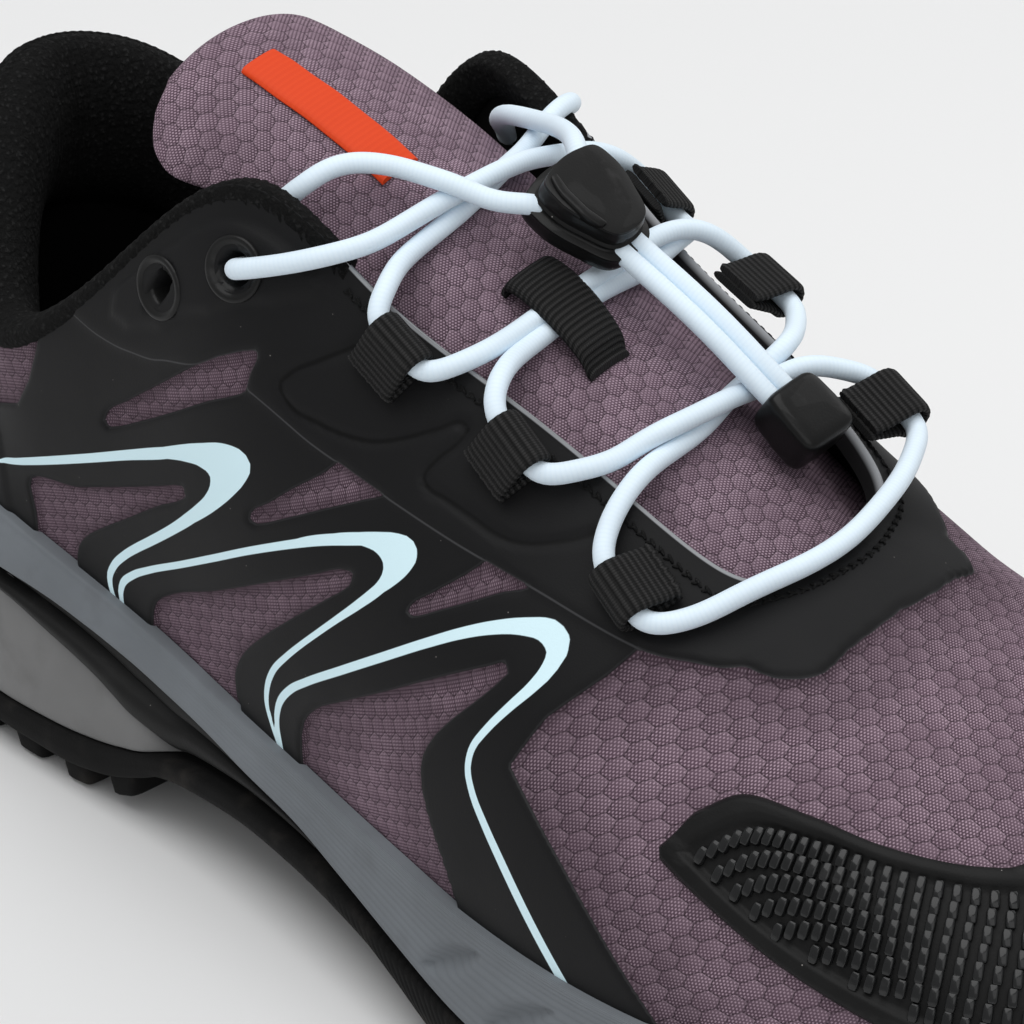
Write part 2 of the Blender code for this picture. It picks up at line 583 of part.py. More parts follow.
def build_upper(fabric):
    """The upper: one hollow wall, open at the collar, the throat and underneath."""
    u = around()
    v = np.linspace(0.0, 1.0, WALL_STEPS + 1)
    grid_u, grid_v = np.broadcast_arrays(u[None], v[:, None])
    return shell("upper", wall(grid_u, grid_v), wall(grid_u, grid_v, -WALL), fabric, closed=True)


def build_insole(foam):
    """Loose footbed inside the upper."""
    u = around(steps=2)
    place, _ = plan(u, -(WALL + 0.6))
    bed = sole_height("bed", place[:, 0]) + GAP
    rings = [np.column_stack([place, bed])]
    place, _ = plan(u, -(WALL + 1.0))
    rings.append(np.column_stack([place, sole_height("bed", place[:, 0]) + GAP + INSOLE_THICK]))
    return stack("insole", rings, foam)


def tongue_point(s, t, lift=0.0):
    """Tongue's outer face: s from front to tip, t from edge to edge, lift outwards."""
    s, t, lift = np.broadcast_arrays(np.asarray(s, float), np.asarray(t, float), np.asarray(lift, float))
    stations = np.linspace(0.0, 1.0, len(TONGUE_MM))
    x, y, crown, radius, half = [steady_curve(stations, TONGUE_MM[:, k], s) for k in range(5)]
    angle = t * half
    reach = radius + lift
    return np.stack([x, y + reach * np.sin(angle), crown + lift - reach * (1 - np.cos(angle))], -1)


def build_tongue(fabric):
    """Padded tongue, arched across, thin at its edges and where it is sewn in."""
    s = np.linspace(0.0, 1.0, 14)[:, None]
    t = np.linspace(-1.0, 1.0, 8)[None]
    stations = np.linspace(0.0, 1.0, len(TONGUE_MM))
    thick = steady_curve(stations, TONGUE_MM[:, 5], s) * (1 - 0.62 * t ** 4)
    s, t = np.broadcast_arrays(s, t)
    return shell("tongue", tongue_point(s, t), tongue_point(s, t, -thick), fabric)


def table_at(table, column, u):
    """Column of a short table of row numbers, read the same on both sides of the foot."""
    rows = np.array(table, dtype=float)
    side = np.mod(u, ROWS)
    return steady_curve(rows[:, 0], rows[:, column], np.minimum(side, ROWS - side))


def topline_up(u):
    """Direction in which the wall leaves its topline."""
    rise = meridian(u, np.ones_like(u)) - meridian(u, np.full_like(u, 0.98))
    return rise / np.linalg.norm(rise, axis=-1, keepdims=True)


def under_top(u, depth, out):
    """Point at a depth under the topline, or above it where depth is below zero."""
    u = np.asarray(u, dtype=float)
    depth = np.broadcast_to(depth, u.shape)
    point = wall(u, v_below_top(u, np.maximum(depth, 0.0)), out)
    return point + topline_up(u) * np.maximum(-depth, 0.0)[..., None]


def patch(name, u, v_low, v_high, steps, finish, thick=FILM):
    """Film on the upper between two edges, cut from the wall's own surface."""
    share = np.linspace(0.0, 1.0, steps + 1)[:, None]
    v = v_low * (1 - share) + v_high * share
    grid_u = np.broadcast_to(u, v.shape)
    return shell(name, wall(grid_u, v, FILM_GAP + thick), wall(grid_u, v, FILM_GAP), finish)


def prism(name, outline, y_from, y_to):
    """Cutter with an outline in side view, run across the shoe."""
    outline = np.array(outline)
    rings = [np.column_stack([outline[:, 0], np.full(len(outline), y), outline[:, 1]]) for y in (y_from, y_to)]
    size = len(outline)
    faces = grid_faces(2, size, 0, True) + [tuple(range(size)), tuple(range(size, 2 * size))]
    return mesh_object(name, np.concatenate(rings), faces, cutter=True)


def build_overlays(film):
    """Eyestay, and side films with their windows under it."""
    u = around(-7.85, 7.85)
    edge = np.where(np.abs(u) > 5.9, 3.9, 1.0)
    eyestay = patch("eyestay", u, v_below_top(u, table_at(EYESTAY, 1, u)), v_below_top(u, edge), 3, film)
    for side, start, end, span in (("lateral", 3.0, 9.42, (-70.0, -15.0)), ("medial", 21.0, 14.58, (15.0, 70.0))):
        turn = 7.93 if side == "lateral" else ROWS - 7.93
        rear = 8.03 if side == "lateral" else ROWS - 8.03
        u = np.concatenate([around(start, turn), around(rear, end)])
        rim = sole_height("rim", plan(u)[0][:, 0])
        low = v_at_height(u, rim + 0.9)
        under_eyestay = np.abs(u - 12.0) > 4.0
        high = v_below_top(u, np.where(under_eyestay, table_at(EYESTAY, 1, u) + 0.4, 3.9))
        sheet = patch("overlay_" + side, u, low, high, 5, film)
        for name, outline in WINDOWS.items():
            boolean(sheet, prism(side + "_" + name, outline, *span))
    return eyestay


def build_toe_cap(rubber):
    """Rubber cap over the toes with a wing along each side."""
    u = around(-2.95, 2.95)
    rim = sole_height("rim", plan(u)[0][:, 0])
    low = v_at_height(u, rim + table_at(TOE_CAP, 1, u))
    high = v_at_height(u, rim + table_at(TOE_CAP, 2, u))
    return patch("toe_cap", u, low, high, 4, rubber, 1.3)


def build_counter(film):
    """Stiff cup round the heel."""
    u = around(9.5, 14.5)
    rim = sole_height("rim", plan(u)[0][:, 0])
    low = v_at_height(u, rim + 0.9)
    high = v_at_height(u, rim + table_at(COUNTER, 1, u))
    return patch("heel_counter", u, low, high, 3, film, 1.0)


def build_collar(knit):
    """Padded collar: a roll over the topline with a lining pad inside the heel."""
    u = around(6.15, 17.85)
    swell = np.clip((5.3 - np.abs(u - 12.0)) / 2.2, 0.0, 1.0)
    swell = swell * swell * (3 - 2 * swell)
    thick = 1.2 + 5.8 * swell
    deep = 4.5 + 26.0 * swell
    inside = -(WALL + GAP)
    clear = inside - 0.35
    lip = GAP + 0.5 * swell
    rings = [(3.2, lip), (3.2, lip + 0.9), (-0.4, lip + 0.8), (-1.5, -0.6 * WALL), (-1.0, inside - 0.5 * thick),
             (0.16 * deep, inside - 0.9 * thick), (0.4 * deep, inside - thick), (0.75 * deep, inside - 0.8 * thick),
             (deep, inside - 0.9), (deep, clear), (0.66 * deep, clear), (0.33 * deep, clear), (-GAP, inside),
             (-GAP, lip)]
    loops = np.array([under_top(u, depth, np.broadcast_to(out, u.shape)) for depth, out in rings])
    count, size = loops.shape[:2]
    across = np.transpose(loops, (1, 0, 2))
    faces = grid_faces(size, count, 0, True)
    faces += [tuple(range(count)), tuple(range((size - 1) * count, size * count))]
    return mesh_object("collar", across.reshape(-1, 3), faces, knit)


def frame_on_wall(u, depth, out):
    """Point on the wall with its directions: along the edge, up to the edge, outwards."""
    u = np.array(u, dtype=float)
    v = v_below_top(u, depth)
    point = wall(u, v, out)
    outward = wall_normal(u, v)
    along = meridian(u + 0.02, v) - meridian(u - 0.02, v)
    along -= outward * along.dot(outward)
    along /= np.linalg.norm(along)
    return point, along, np.cross(along, outward), outward


def placed(local, point, axes):
    """Points given along three directions from a point."""
    return point + np.asarray(local, dtype=float) @ np.array(axes)


def build_eyelets(metal, upper, eyestay):
    """Rolled eyelets, with their holes through the wall and the eyestay."""
    turn = np.linspace(0.0, 2 * math.pi, 8, endpoint=False)
    half = 0.5 * EYELET_HOLE
    profile = ((half, -2.2), (half, 1.7), (half + 0.4, 2.3), (half + 1.1, 2.2), (half + 1.4, 1.4),
               (half + 0.4, 1.4), (half + 0.4, -2.2))
    for side in ("lateral", "medial"):
        for name, (row, depth) in EYELETS.items():
            row = row if side == "lateral" else ROWS - row
            point, along, rise, outward = frame_on_wall(row, depth, 0.0)
            axes = (along, rise, outward)
            def ring(radius, height):
                local = np.column_stack([radius * np.cos(turn), radius * np.sin(turn), np.full(8, height)])
                return placed(local, point, axes)
            cutter = stack("hole_" + side + "_" + name, [ring(half + 0.9, -4.5), ring(half + 0.9, 3.5)],
                           None, cutter=True)
            boolean(upper, cutter)
            boolean(eyestay, cutter)
            rings = [ring(radius, height) for radius, height in profile]
            points = np.concatenate(rings)
            faces = grid_faces(len(rings), 8, 0, True)
            last = (len(rings) - 1) * 8
            faces += [(last + j, last + (j + 1) % 8, (j + 1) % 8, j) for j in range(8)]
            mesh_object("eyelet_" + side + "_" + name, points, faces, metal)


def loop_frame(side, name):
    """Bore of a webbing loop: its middle, its direction, the way of its fold, and outwards."""
    row, depth, lift, turn, fold = LOOPS[side, name]
    rest = FILM_GAP + FILM + GAP + STRAP + LOOP_BORE + lift
    point, along, rise, outward = frame_on_wall(row if side == "lateral" else ROWS - row, depth, rest)
    forward = along if along[0] > 0 else -along
    up = rise if rise[2] > 0 else -rise
    cosine = math.cos(math.radians(turn))
    sine = math.sin(math.radians(turn))
    return point, forward * cosine + up * sine, (up * cosine - forward * sine) * fold, outward


def build_loops(webbing):
    """Folded webbing loops on the eyestay, three a side, with a bore for the cord."""
    turn = np.radians(np.arange(0, 360, 36))
    bore = np.column_stack([LOOP_BORE * np.cos(turn), LOOP_BORE * np.sin(turn)])
    skin = LOOP_BORE + STRAP
    for (side, name), sizes in LOOPS.items():
        point, along, toward, outward = loop_frame(side, name)
        lift = sizes[2]
        outer = skin * np.column_stack([np.cos(turn), np.sin(turn)])
        outer[3] = (-1.6, 2.6)
        outer[4] = (-4.8, -0.4 - 0.6 * lift)
        outer[5] = (-LOOP_TAIL, -1.4 - lift)
        outer[6] = (-LOOP_TAIL, -skin - lift)
        outer[7] = (-2.6, -skin - 0.3 * lift)

        def ends(section):
            """The section at both ends of the bore."""
            return np.array([placed(np.column_stack([np.full(10, e), section]), point,
                                    (along, toward, outward)) for e in (-0.5 * WEBBING, 0.5 * WEBBING)])
        shell("loop_" + side + "_" + name, ends(outer), ends(bore), webbing, closed=True)


def clear_of_foot(points):
    """Cord points pushed away from the tongue and from the rolled edge of the throat."""
    stations = np.linspace(0.0, 1.0, 200)
    columns = [steady_curve(np.linspace(0.0, 1.0, len(TONGUE_MM)), TONGUE_MM[:, k], stations) for k in range(4)]
    x, y, crown, radius = [np.interp(points[:, 0], columns[0][::-1], c[::-1]) for c in columns]
    reach = np.column_stack([points[:, 1] - y, points[:, 2] - (crown - radius)])
    have = np.linalg.norm(reach, axis=1)
    want = np.maximum(radius + CORD_CLEAR + np.where(points[:, 0] < 122.0, 0.8, 0.0), have) / have
    points = np.column_stack([points[:, 0], y + reach[:, 0] * want, crown - radius + reach[:, 1] * want])
    u = np.linspace(-7.4, 7.4, 223)
    below = np.array((0.0, 2.5, 5.0, 8.0))
    near_edge = np.concatenate([under_top(u, depth, 0.0) for depth in below])
    need = np.concatenate([0.5 * CORD + np.where(np.abs(u) > 5.6, 3.0 - 0.1 * depth, 2.4) for depth in below])
    for _ in range(2):
        away = points[:, None] - near_edge[None]
        distance = np.linalg.norm(away, axis=2)
        short = np.argmax(need[None] - distance, axis=1)
        rows = np.arange(len(points))
        have = distance[rows, short]
        grow = np.maximum(need[short], have) / have
        points = near_edge[short] + away[rows, short] * grow[:, None]
    return points


def tube(name, points, finish=None, cutter=False, bore=CORD):
    """Round cord through points, made a closed mesh."""
    curve = bpy.data.curves.new(name, "CURVE")
    curve.dimensions = "3D"
    curve.bevel_depth = 0.5 * bore * MM
    curve.bevel_resolution = 2
    curve.use_fill_caps = True
    line = curve.splines.new("POLY")
    line.points.add(len(points) - 1)
    for knot, place in zip(line.points, np.asarray(points) * MM):
        knot.co = (*place, 1.0)
    holder = bpy.data.objects.new(name + "_line", curve)
    bpy.context.scene.collection.objects.link(holder)
    bpy.context.view_layer.update()
    mesh = bpy.data.meshes.new_from_object(holder.evaluated_get(bpy.context.evaluated_depsgraph_get()))
    bpy.data.objects.remove(holder, do_unlink=True)
    body = bmesh.new()
    body.from_mesh(mesh)
    bmesh.ops.remove_doubles(body, verts=body.verts, dist=1e-6)
    bmesh.ops.recalc_face_normals(body, faces=body.faces)
    if body.calc_volume(signed=True) < 0:
        bmesh.ops.reverse_faces(body, faces=body.faces)
    body.to_mesh(mesh)
    body.free()
    mesh.name = name
    mesh.materials.clear()
    if finish:
        mesh.materials.append(finish)
    return add_object(name, mesh, cutter)


def smooth_line(points, steps):
    """Smooth curve through points, read at steps that are short near its ends."""
    points = np.array(points)
    length = np.concatenate([[0.0], np.cumsum(np.linalg.norm(np.diff(points, axis=0), axis=1))])
    slope = np.gradient(points, length, axis=0)
    at = length[-1] * (0.5 - 0.5 * np.cos(np.linspace(0.0, math.pi, steps + 1)))
    k = np.clip(np.searchsorted(length, at, side="right") - 1, 0, len(points) - 2)
    h = (length[k + 1] - length[k])[:, None]
    t = ((at - length[k]) / h[:, 0])[:, None]
    return (points[k] * (1 + 2 * t) * (1 - t) ** 2 + slope[k] * h * t * (1 - t) ** 2
            + points[k + 1] * t * t * (3 - 2 * t) + slope[k + 1] * h * t * t * (t - 1))


def cord_end_at(side, name, way):
    """Where a strand ends: in a loop, to its rear or front, or above a front eyelet."""
    if way == "eyelet":
        row, depth = EYELETS[name]
        row = row if side == "lateral" else ROWS - row
        return frame_on_wall(row, depth, 2.4 + GAP + 0.5 * CORD + 0.9)[0][None]
    point, forward, _, _ = loop_frame(side, name)
    turn = -forward if way == "rear" else forward
    return np.array((point + turn * 3.6, point + turn * 6.4))


def strand(start, end, middle, steps=15):
    """Cord from the outer side over the tongue to the inner side."""
    first = cord_end_at("lateral", *start)
    last = cord_end_at("medial", *end)[::-1]
    run = smooth_line(np.concatenate([first[-1:], middle, last[:1]]), steps)
    return np.concatenate([first[:-1], run[:1], clear_of_foot(run[1:-1]), run[-1:], last[1:]])


def build_lace(cord):
    """Elastic lace: one cord zigzags through the loops and back, joined where it crosses."""
    runs = [strand(start, end, middle) for start, end, middle in STRANDS]
    there = np.concatenate([runs[0][::-1], runs[2], runs[5][::-1]])
    back = np.concatenate([runs[6], runs[4][::-1], runs[3], runs[1][::-1]])
    corner = back[0] - 0.3 * (back[1] - back[0])
    lace = tube("lace", np.concatenate([there, corner[None]]), cord)
    boolean(lace, tube("lace_back", back, cutter=True), "UNION")
    return lace


def lock_axes(along, up):
    """Three directions of a fitting: along, across, up."""
    along = np.array(along) / np.linalg.norm(along)
    across = np.cross(np.array(up), along)
    across /= np.linalg.norm(across)
    return along, across, np.cross(along, across)


def build_lock(plastic, cord):
    """Cord lock with its wedge button, the cord end, and the cords between them."""
    axes = lock_axes(LOCK_ALONG, LOCK_UP)
    point = np.array(LOCK_AT)
    outline = np.array(LOCK_OUTLINE)
    half = 0.5 * LOCK_THICK
    def ring(scale, height):
        return placed(np.column_stack([outline * scale, np.full(len(outline), height)]), point, axes)
    rings = [ring(0.86, -half), ring(1.0, -half + 1.2), ring(1.0, half - 2.0), ring(0.9, half - 1.3)]
    stack("cord_lock", rings, plastic, looped=False)
    def button(scale, height, tilt=0.0):
        local = np.column_stack([outline * scale, height + tilt * outline[:, 0]])
        return placed(local, point, axes)
    stack("cord_lock_button", [button(0.72, half - 1.0), button(0.72, half + 0.8), button(0.52, half + 2.4, -0.06)],
          plastic, looped=False)
    end_axes = lock_axes(END_ALONG, LOCK_UP)
    end = np.array(END_AT)
    turn = np.radians(np.arange(22.5, 360, 45))
    def oval(place, width, height):
        local = np.column_stack([np.full(8, place), width * np.cos(turn), height * np.sin(turn)])
        return placed(local, end, end_axes)
    rings = [oval(-5.3, 4.4, 3.1), oval(-3.8, 5.4, 3.9), oval(3.1, 5.6, 4.1), oval(5.3, 4.6, 3.2)]
    size = 8
    faces = grid_faces(4, size, 0, True) + [tuple(range(size)), tuple(range(3 * size, 4 * size))]
    mesh_object("cord_end", np.concatenate(rings), faces, plastic)
    for side, shift in (("lateral", -1.75), ("medial", 1.75)):
        start = placed((10.0 + GAP + 0.2, shift, 0.0), point, axes)
        stop = placed((-5.3 - GAP - 0.2, shift, 0.0), end, end_axes)
        middle = 0.5 * (start + stop) + np.array((0.0, 0.0, 0.8))
        tube("lace_tail_" + side, np.array([start, middle, stop]), cord)
    outer = placed((-5.4, -7.9 - 0.5 * CORD, 0.0), point, axes)
    inner = placed((-8.6, 7.6, 0.0), point, axes)
    tube("lace_end_lateral", np.vstack([OUTER_END, outer]), cord)
    tube("lace_end_medial", np.vstack([INNER_END, inner]), cord)


def build_tongue_fittings(webbing, label):
    """Label and cord keeper sewn to the tongue."""
    s = np.linspace(0.79, 0.565, 6)[:, None]
    t = np.linspace(-0.38, -0.12, 4)[None]
    s, t = np.broadcast_arrays(s, t)
    shell("tongue_label", tongue_point(s, t, 0.7), tongue_point(s, t, GAP), label)
    s = np.linspace(0.437, 0.335, 9)[:, None]
    t = np.linspace(-0.30, 0.03, 4)[None]
    arch = GAP + 4.6 * np.sin(np.linspace(0.0, math.pi, 9))[:, None] ** 0.6
    s, t, arch = np.broadcast_arrays(s, t, arch)
    shell("tongue_keeper", tongue_point(s, t, arch + STRAP), tongue_point(s, t, arch), webbing)


def sole_centre():
    """Middle of the box round the outsole, in plan."""
    u = around(steps=40)
    place, _ = plan(u, sole_flare(u, 1.0, 0.6))
    return 0.5 * (place.min(0) + place.max(0))


for old in list(bpy.data.objects):
    bpy.data.objects.remove(old, do_unlink=True)

SHOE = bpy.data.collections.new("outdoor_shoe")
CUTTERS = bpy.data.collections.new("cutters")
bpy.context.scene.collection.children.link(SHOE)
bpy.context.scene.collection.children.link(CUTTERS)
ROOT = bpy.data.objects.new("shoe", None)
ROOT.location = (*(-sole_centre() * MM), 0.0)
SHOE.objects.link(ROOT)

RUBBER = material("outsole_rubber", (0.02, 0.02, 0.022), 0.7)
FOAM = material("midsole_foam", (0.20, 0.22, 0.24), 0.75)
PLASTIC = material("waist_plastic", (0.015, 0.015, 0.017), 0.5)
FABRIC = material("upper_fabric", (0.16, 0.12, 0.13), 0.85)
BED_FOAM = material("insole_foam", (0.03, 0.03, 0.03), 0.9)
FILM_BLACK = material("overlay_film", (0.012, 0.012, 0.013), 0.55)
CAP_RUBBER = material("toe_rubber", (0.014, 0.014, 0.015), 0.5)
KNIT = material("collar_knit", (0.01, 0.01, 0.011), 0.9)
EYELET = material("eyelet_black", (0.01, 0.01, 0.011), 0.25, 0.6)
STRAP_BLACK = material("webbing_black", (0.01, 0.01, 0.012), 0.8)
CORD_BLUE = material("cord_blue", (0.67, 0.82, 0.93), 0.6)
LOCK_BLACK = material("lock_black", (0.012, 0.012, 0.013), 0.35)
LABEL = material("label_orange", (0.85, 0.12, 0.03), 0.5)

build_outsole(RUBBER)
build_heel_block(FOAM)
build_waist_plate(PLASTIC)
build_midsole(FOAM)
UPPER = build_upper(FABRIC)
build_insole(BED_FOAM)
build_tongue(FABRIC)
EYESTAY_PIECE = build_overlays(FILM_BLACK)
build_toe_cap(CAP_RUBBER)
build_counter(FILM_BLACK)
build_collar(KNIT)
build_eyelets(EYELET, UPPER, EYESTAY_PIECE)
build_loops(STRAP_BLACK)
build_lace(CORD_BLUE)
build_lock(LOCK_BLACK, CORD_BLUE)
build_tongue_fittings(STRAP_BLACK, LABEL)
bpy.context.view_layer.update()
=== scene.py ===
"""Looks of a right outdoor shoe with a drawcord lacing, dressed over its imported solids.

Lengths are millimetres in the axes of the last: X from heel to toe, Y to the wearer's
left, Z up from the floor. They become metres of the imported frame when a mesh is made.
"""
import logging
import math
from dataclasses import dataclass, field
from enum import Enum
from typing import Any, Callable, Iterable, Optional, Sequence

import bpy
import numpy as np
from mathutils import Matrix, Vector


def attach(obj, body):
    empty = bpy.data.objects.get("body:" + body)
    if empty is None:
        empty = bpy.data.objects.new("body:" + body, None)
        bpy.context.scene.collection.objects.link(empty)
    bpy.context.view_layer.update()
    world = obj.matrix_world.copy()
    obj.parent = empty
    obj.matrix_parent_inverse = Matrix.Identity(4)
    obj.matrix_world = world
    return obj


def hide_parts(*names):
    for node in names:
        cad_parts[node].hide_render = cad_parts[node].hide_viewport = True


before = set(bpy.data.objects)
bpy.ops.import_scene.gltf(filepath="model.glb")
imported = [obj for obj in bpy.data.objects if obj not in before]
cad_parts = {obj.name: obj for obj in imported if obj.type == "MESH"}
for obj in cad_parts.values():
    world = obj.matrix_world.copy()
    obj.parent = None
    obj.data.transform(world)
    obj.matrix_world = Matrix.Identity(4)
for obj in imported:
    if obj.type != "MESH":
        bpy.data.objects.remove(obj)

LOG = logging.getLogger("outdoor_shoe")
Array = np.ndarray
Colour = tuple[float, float, float]
Socket = bpy.types.NodeSocket
Tree = bpy.types.NodeTree
Points = Sequence[Sequence[float]]
Grids = Optional[dict[str, Array]]
Height = Callable[[Array], Array]
MM = 0.001
GAP = 0.3
WALL = 2.0
FILM_TOP = 1.35
CORD = 3.2
STRAP_WIDE = 9.0
STRAP = 1.2
LOOP_BORE = 2.0
LUG_DEPTH = 4.5
CORD_SEAM = (0.35, 0.1, 0.93)

# One meridian of the last a row, toe to heel along the outer side and back along the inner
# side: foot x, foot y, flare of the sole, top x, top y, top z, heel, lean, slope, low, high.
LAST = (
    (98.3, 8.5, 5.5, 67.7, 2.1, 66.4, 0, 4, 21, 0.36, 0.46),
    (94.8, -22.3, 5.5, 67.7, -4.3, 66.2, 0, 6, 23, 0.36, 0.44),
    (86.6, -41.5, 5.5, 67.4, -9.6, 66.0, 0, 7, 27, 0.37, 0.42),
    (73.9, -50.0, 5.5, 65.3, -15.4, 67.2, 0, 8, 34, 0.38, 0.40),
    (62.9, -50.0, 5.5, 58.4, -18.6, 74.8, 0, 8, 41, 0.38, 0.36),
    (52.9, -45.7, 4.5, 51.5, -21.6, 81.9, 0, 7, 47, 0.36, 0.36),
    (43.0, -41.5, 4.0, 44.3, -25.5, 90.3, 0, 6, 55, 0.34, 0.36),
    (34.4, -38.8, 4.0, 37.2, -31.9, 100.0, 0, 5, 68, 0.32, 0.34),
    (27.5, -37.8, 5.0, 28.6, -38.3, 92.0, 1, 4, 84, 0.32, 0.34),
    (20.3, -37.2, 5.5, 19.2, -39.6, 74.6, 1, 4, 92, 0.34, 0.34),
    (12.4, -34.6, 6.0, 13.4, -30.4, 83.0, 1, 5, 94, 0.34, 0.34),
    (5.2, -22.9, 6.0, 9.6, -17.0, 97.0, 1, 7, 96, 0.34, 0.34),
    (2.6, 0.0, 6.0, 7.2, 0.0, 101.0, 1, 8, 97, 0.34, 0.34),
    (5.2, 22.9, 6.0, 9.6, 17.4, 97.8, 1, 7, 96, 0.34, 0.34),
    (12.4, 33.5, 5.5, 13.8, 31.2, 86.4, 1, 5, 94, 0.34, 0.34),
    (20.3, 34.6, 5.0, 20.0, 39.4, 78.4, 1, 5, 92, 0.34, 0.34),
    (27.5, 34.0, 4.5, 27.4, 37.4, 93.0, 1, 5, 84, 0.32, 0.34),
    (34.4, 33.5, 3.5, 34.4, 32.4, 100.8, 0, 7, 68, 0.32, 0.34),
    (43.0, 33.5, 3.0, 43.6, 29.3, 92.4, 0, 11, 55, 0.34, 0.36),
    (52.9, 38.3, 3.5, 51.5, 25.5, 84.2, 0, 11, 47, 0.36, 0.36),
    (63.6, 46.8, 5.0, 59.1, 22.9, 77.5, 0, 9, 40, 0.38, 0.37),
    (73.9, 51.1, 5.5, 65.5, 19.1, 70.0, 0, 8, 32, 0.38, 0.40),
    (85.9, 46.3, 5.5, 67.4, 11.7, 67.4, 0, 7, 26, 0.37, 0.42),
    (94.8, 31.9, 5.5, 67.7, 6.9, 66.8, 0, 6, 23, 0.36, 0.44),
)
# Stations of the sole: x, tread, top of the outsole, top of the heel block, underside and
# rim of the midsole, bed.
SOLE_COLUMNS = ("x", "tread", "out_top", "block_top", "mid_low", "rim", "bed")
SOLE = (
    (0.0, 3.5, 12.0, 34.0, 37.5, 51.5, 41.0),
    (6.5, 0.0, 10.5, 34.3, 37.2, 50.5, 40.5),
    (17.5, 0.0, 10.5, 34.2, 36.8, 45.4, 39.8),
    (22.5, 0.0, 11.2, 31.2, 36.3, 42.9, 39.0),
    (26.5, 1.8, 12.8, 28.0, 34.8, 40.9, 37.4),
    (30.0, 5.6, 15.2, 23.4, 32.6, 39.1, 35.2),
    (33.0, 10.2, 17.2, 19.4, 30.2, 37.4, 33.0),
    (36.5, 13.6, 18.2, 18.8, 27.8, 35.4, 30.6),
    (40.0, 14.5, 18.8, 19.0, 25.4, 33.8, 28.4),
    (44.5, 13.0, 18.2, 18.4, 23.4, 32.2, 26.2),
    (49.0, 9.5, 16.6, 16.8, 19.8, 30.8, 23.2),
    (53.5, 5.0, 14.4, 14.6, 16.4, 29.9, 20.6),
    (59.5, 0.0, 12.0, 12.2, 13.0, 29.0, 18.8),
    (66.0, 0.0, 10.6, 10.8, 11.4, 29.2, 18.0),
    (76.0, 0.0, 10.4, 10.6, 11.2, 30.4, 18.0),
    (86.0, 3.5, 12.5, 12.7, 13.3, 33.6, 19.6),
    (94.0, 10.0, 17.5, 17.7, 18.3, 37.2, 23.5),
    (100.0, 17.0, 23.5, 23.7, 24.3, 41.5, 28.5),
)
EDGE_LUGS = (0.55, 1.15, 1.7, 2.2, 2.72, 3.28, 3.88, 7.95, 8.55, 9.15, 9.75, 10.35, 10.95, 11.6)
EDGE_LUG_ROWS = 0.34
EDGE_LUG_DEEP = 13.0
BAR_LUGS = ((262.0, 9.0, 17.0), (244.0, 6.0, 20.0), (226.0, 3.0, 22.0), (208.0, 1.0, 22.0),
            (190.0, 0.0, 20.0), (62.0, 0.0, 15.0), (46.0, 0.0, 15.0), (30.0, 0.0, 11.0))
NOTCHES = ((171.0, 21.5, 8.0, 3.2), (187.0, 20.5, 8.0, 3.2))
# Tongue, front to tip: x, y, crown height, radius of the arch, half angle, thickness.
TONGUE = (
    (71.5, 2.0, 66.5, 36.0, 24, 2.2),
    (65.5, 2.6, 78.4, 32.0, 38, 2.8),
    (59.0, 2.8, 89.6, 30.0, 46, 3.4),
    (51.5, 2.4, 101.4, 29.0, 52, 4.0),
    (44.3, 1.0, 112.6, 29.0, 58, 5.0),
    (37.5, -1.4, 122.6, 31.0, 53, 6.5),
    (32.5, -4.0, 128.4, 32.0, 51, 7.0),
    (29.6, -6.0, 131.2, 31.0, 47, 6.0),
    (28.2, -6.8, 132.4, 30.0, 33, 3.6),
)
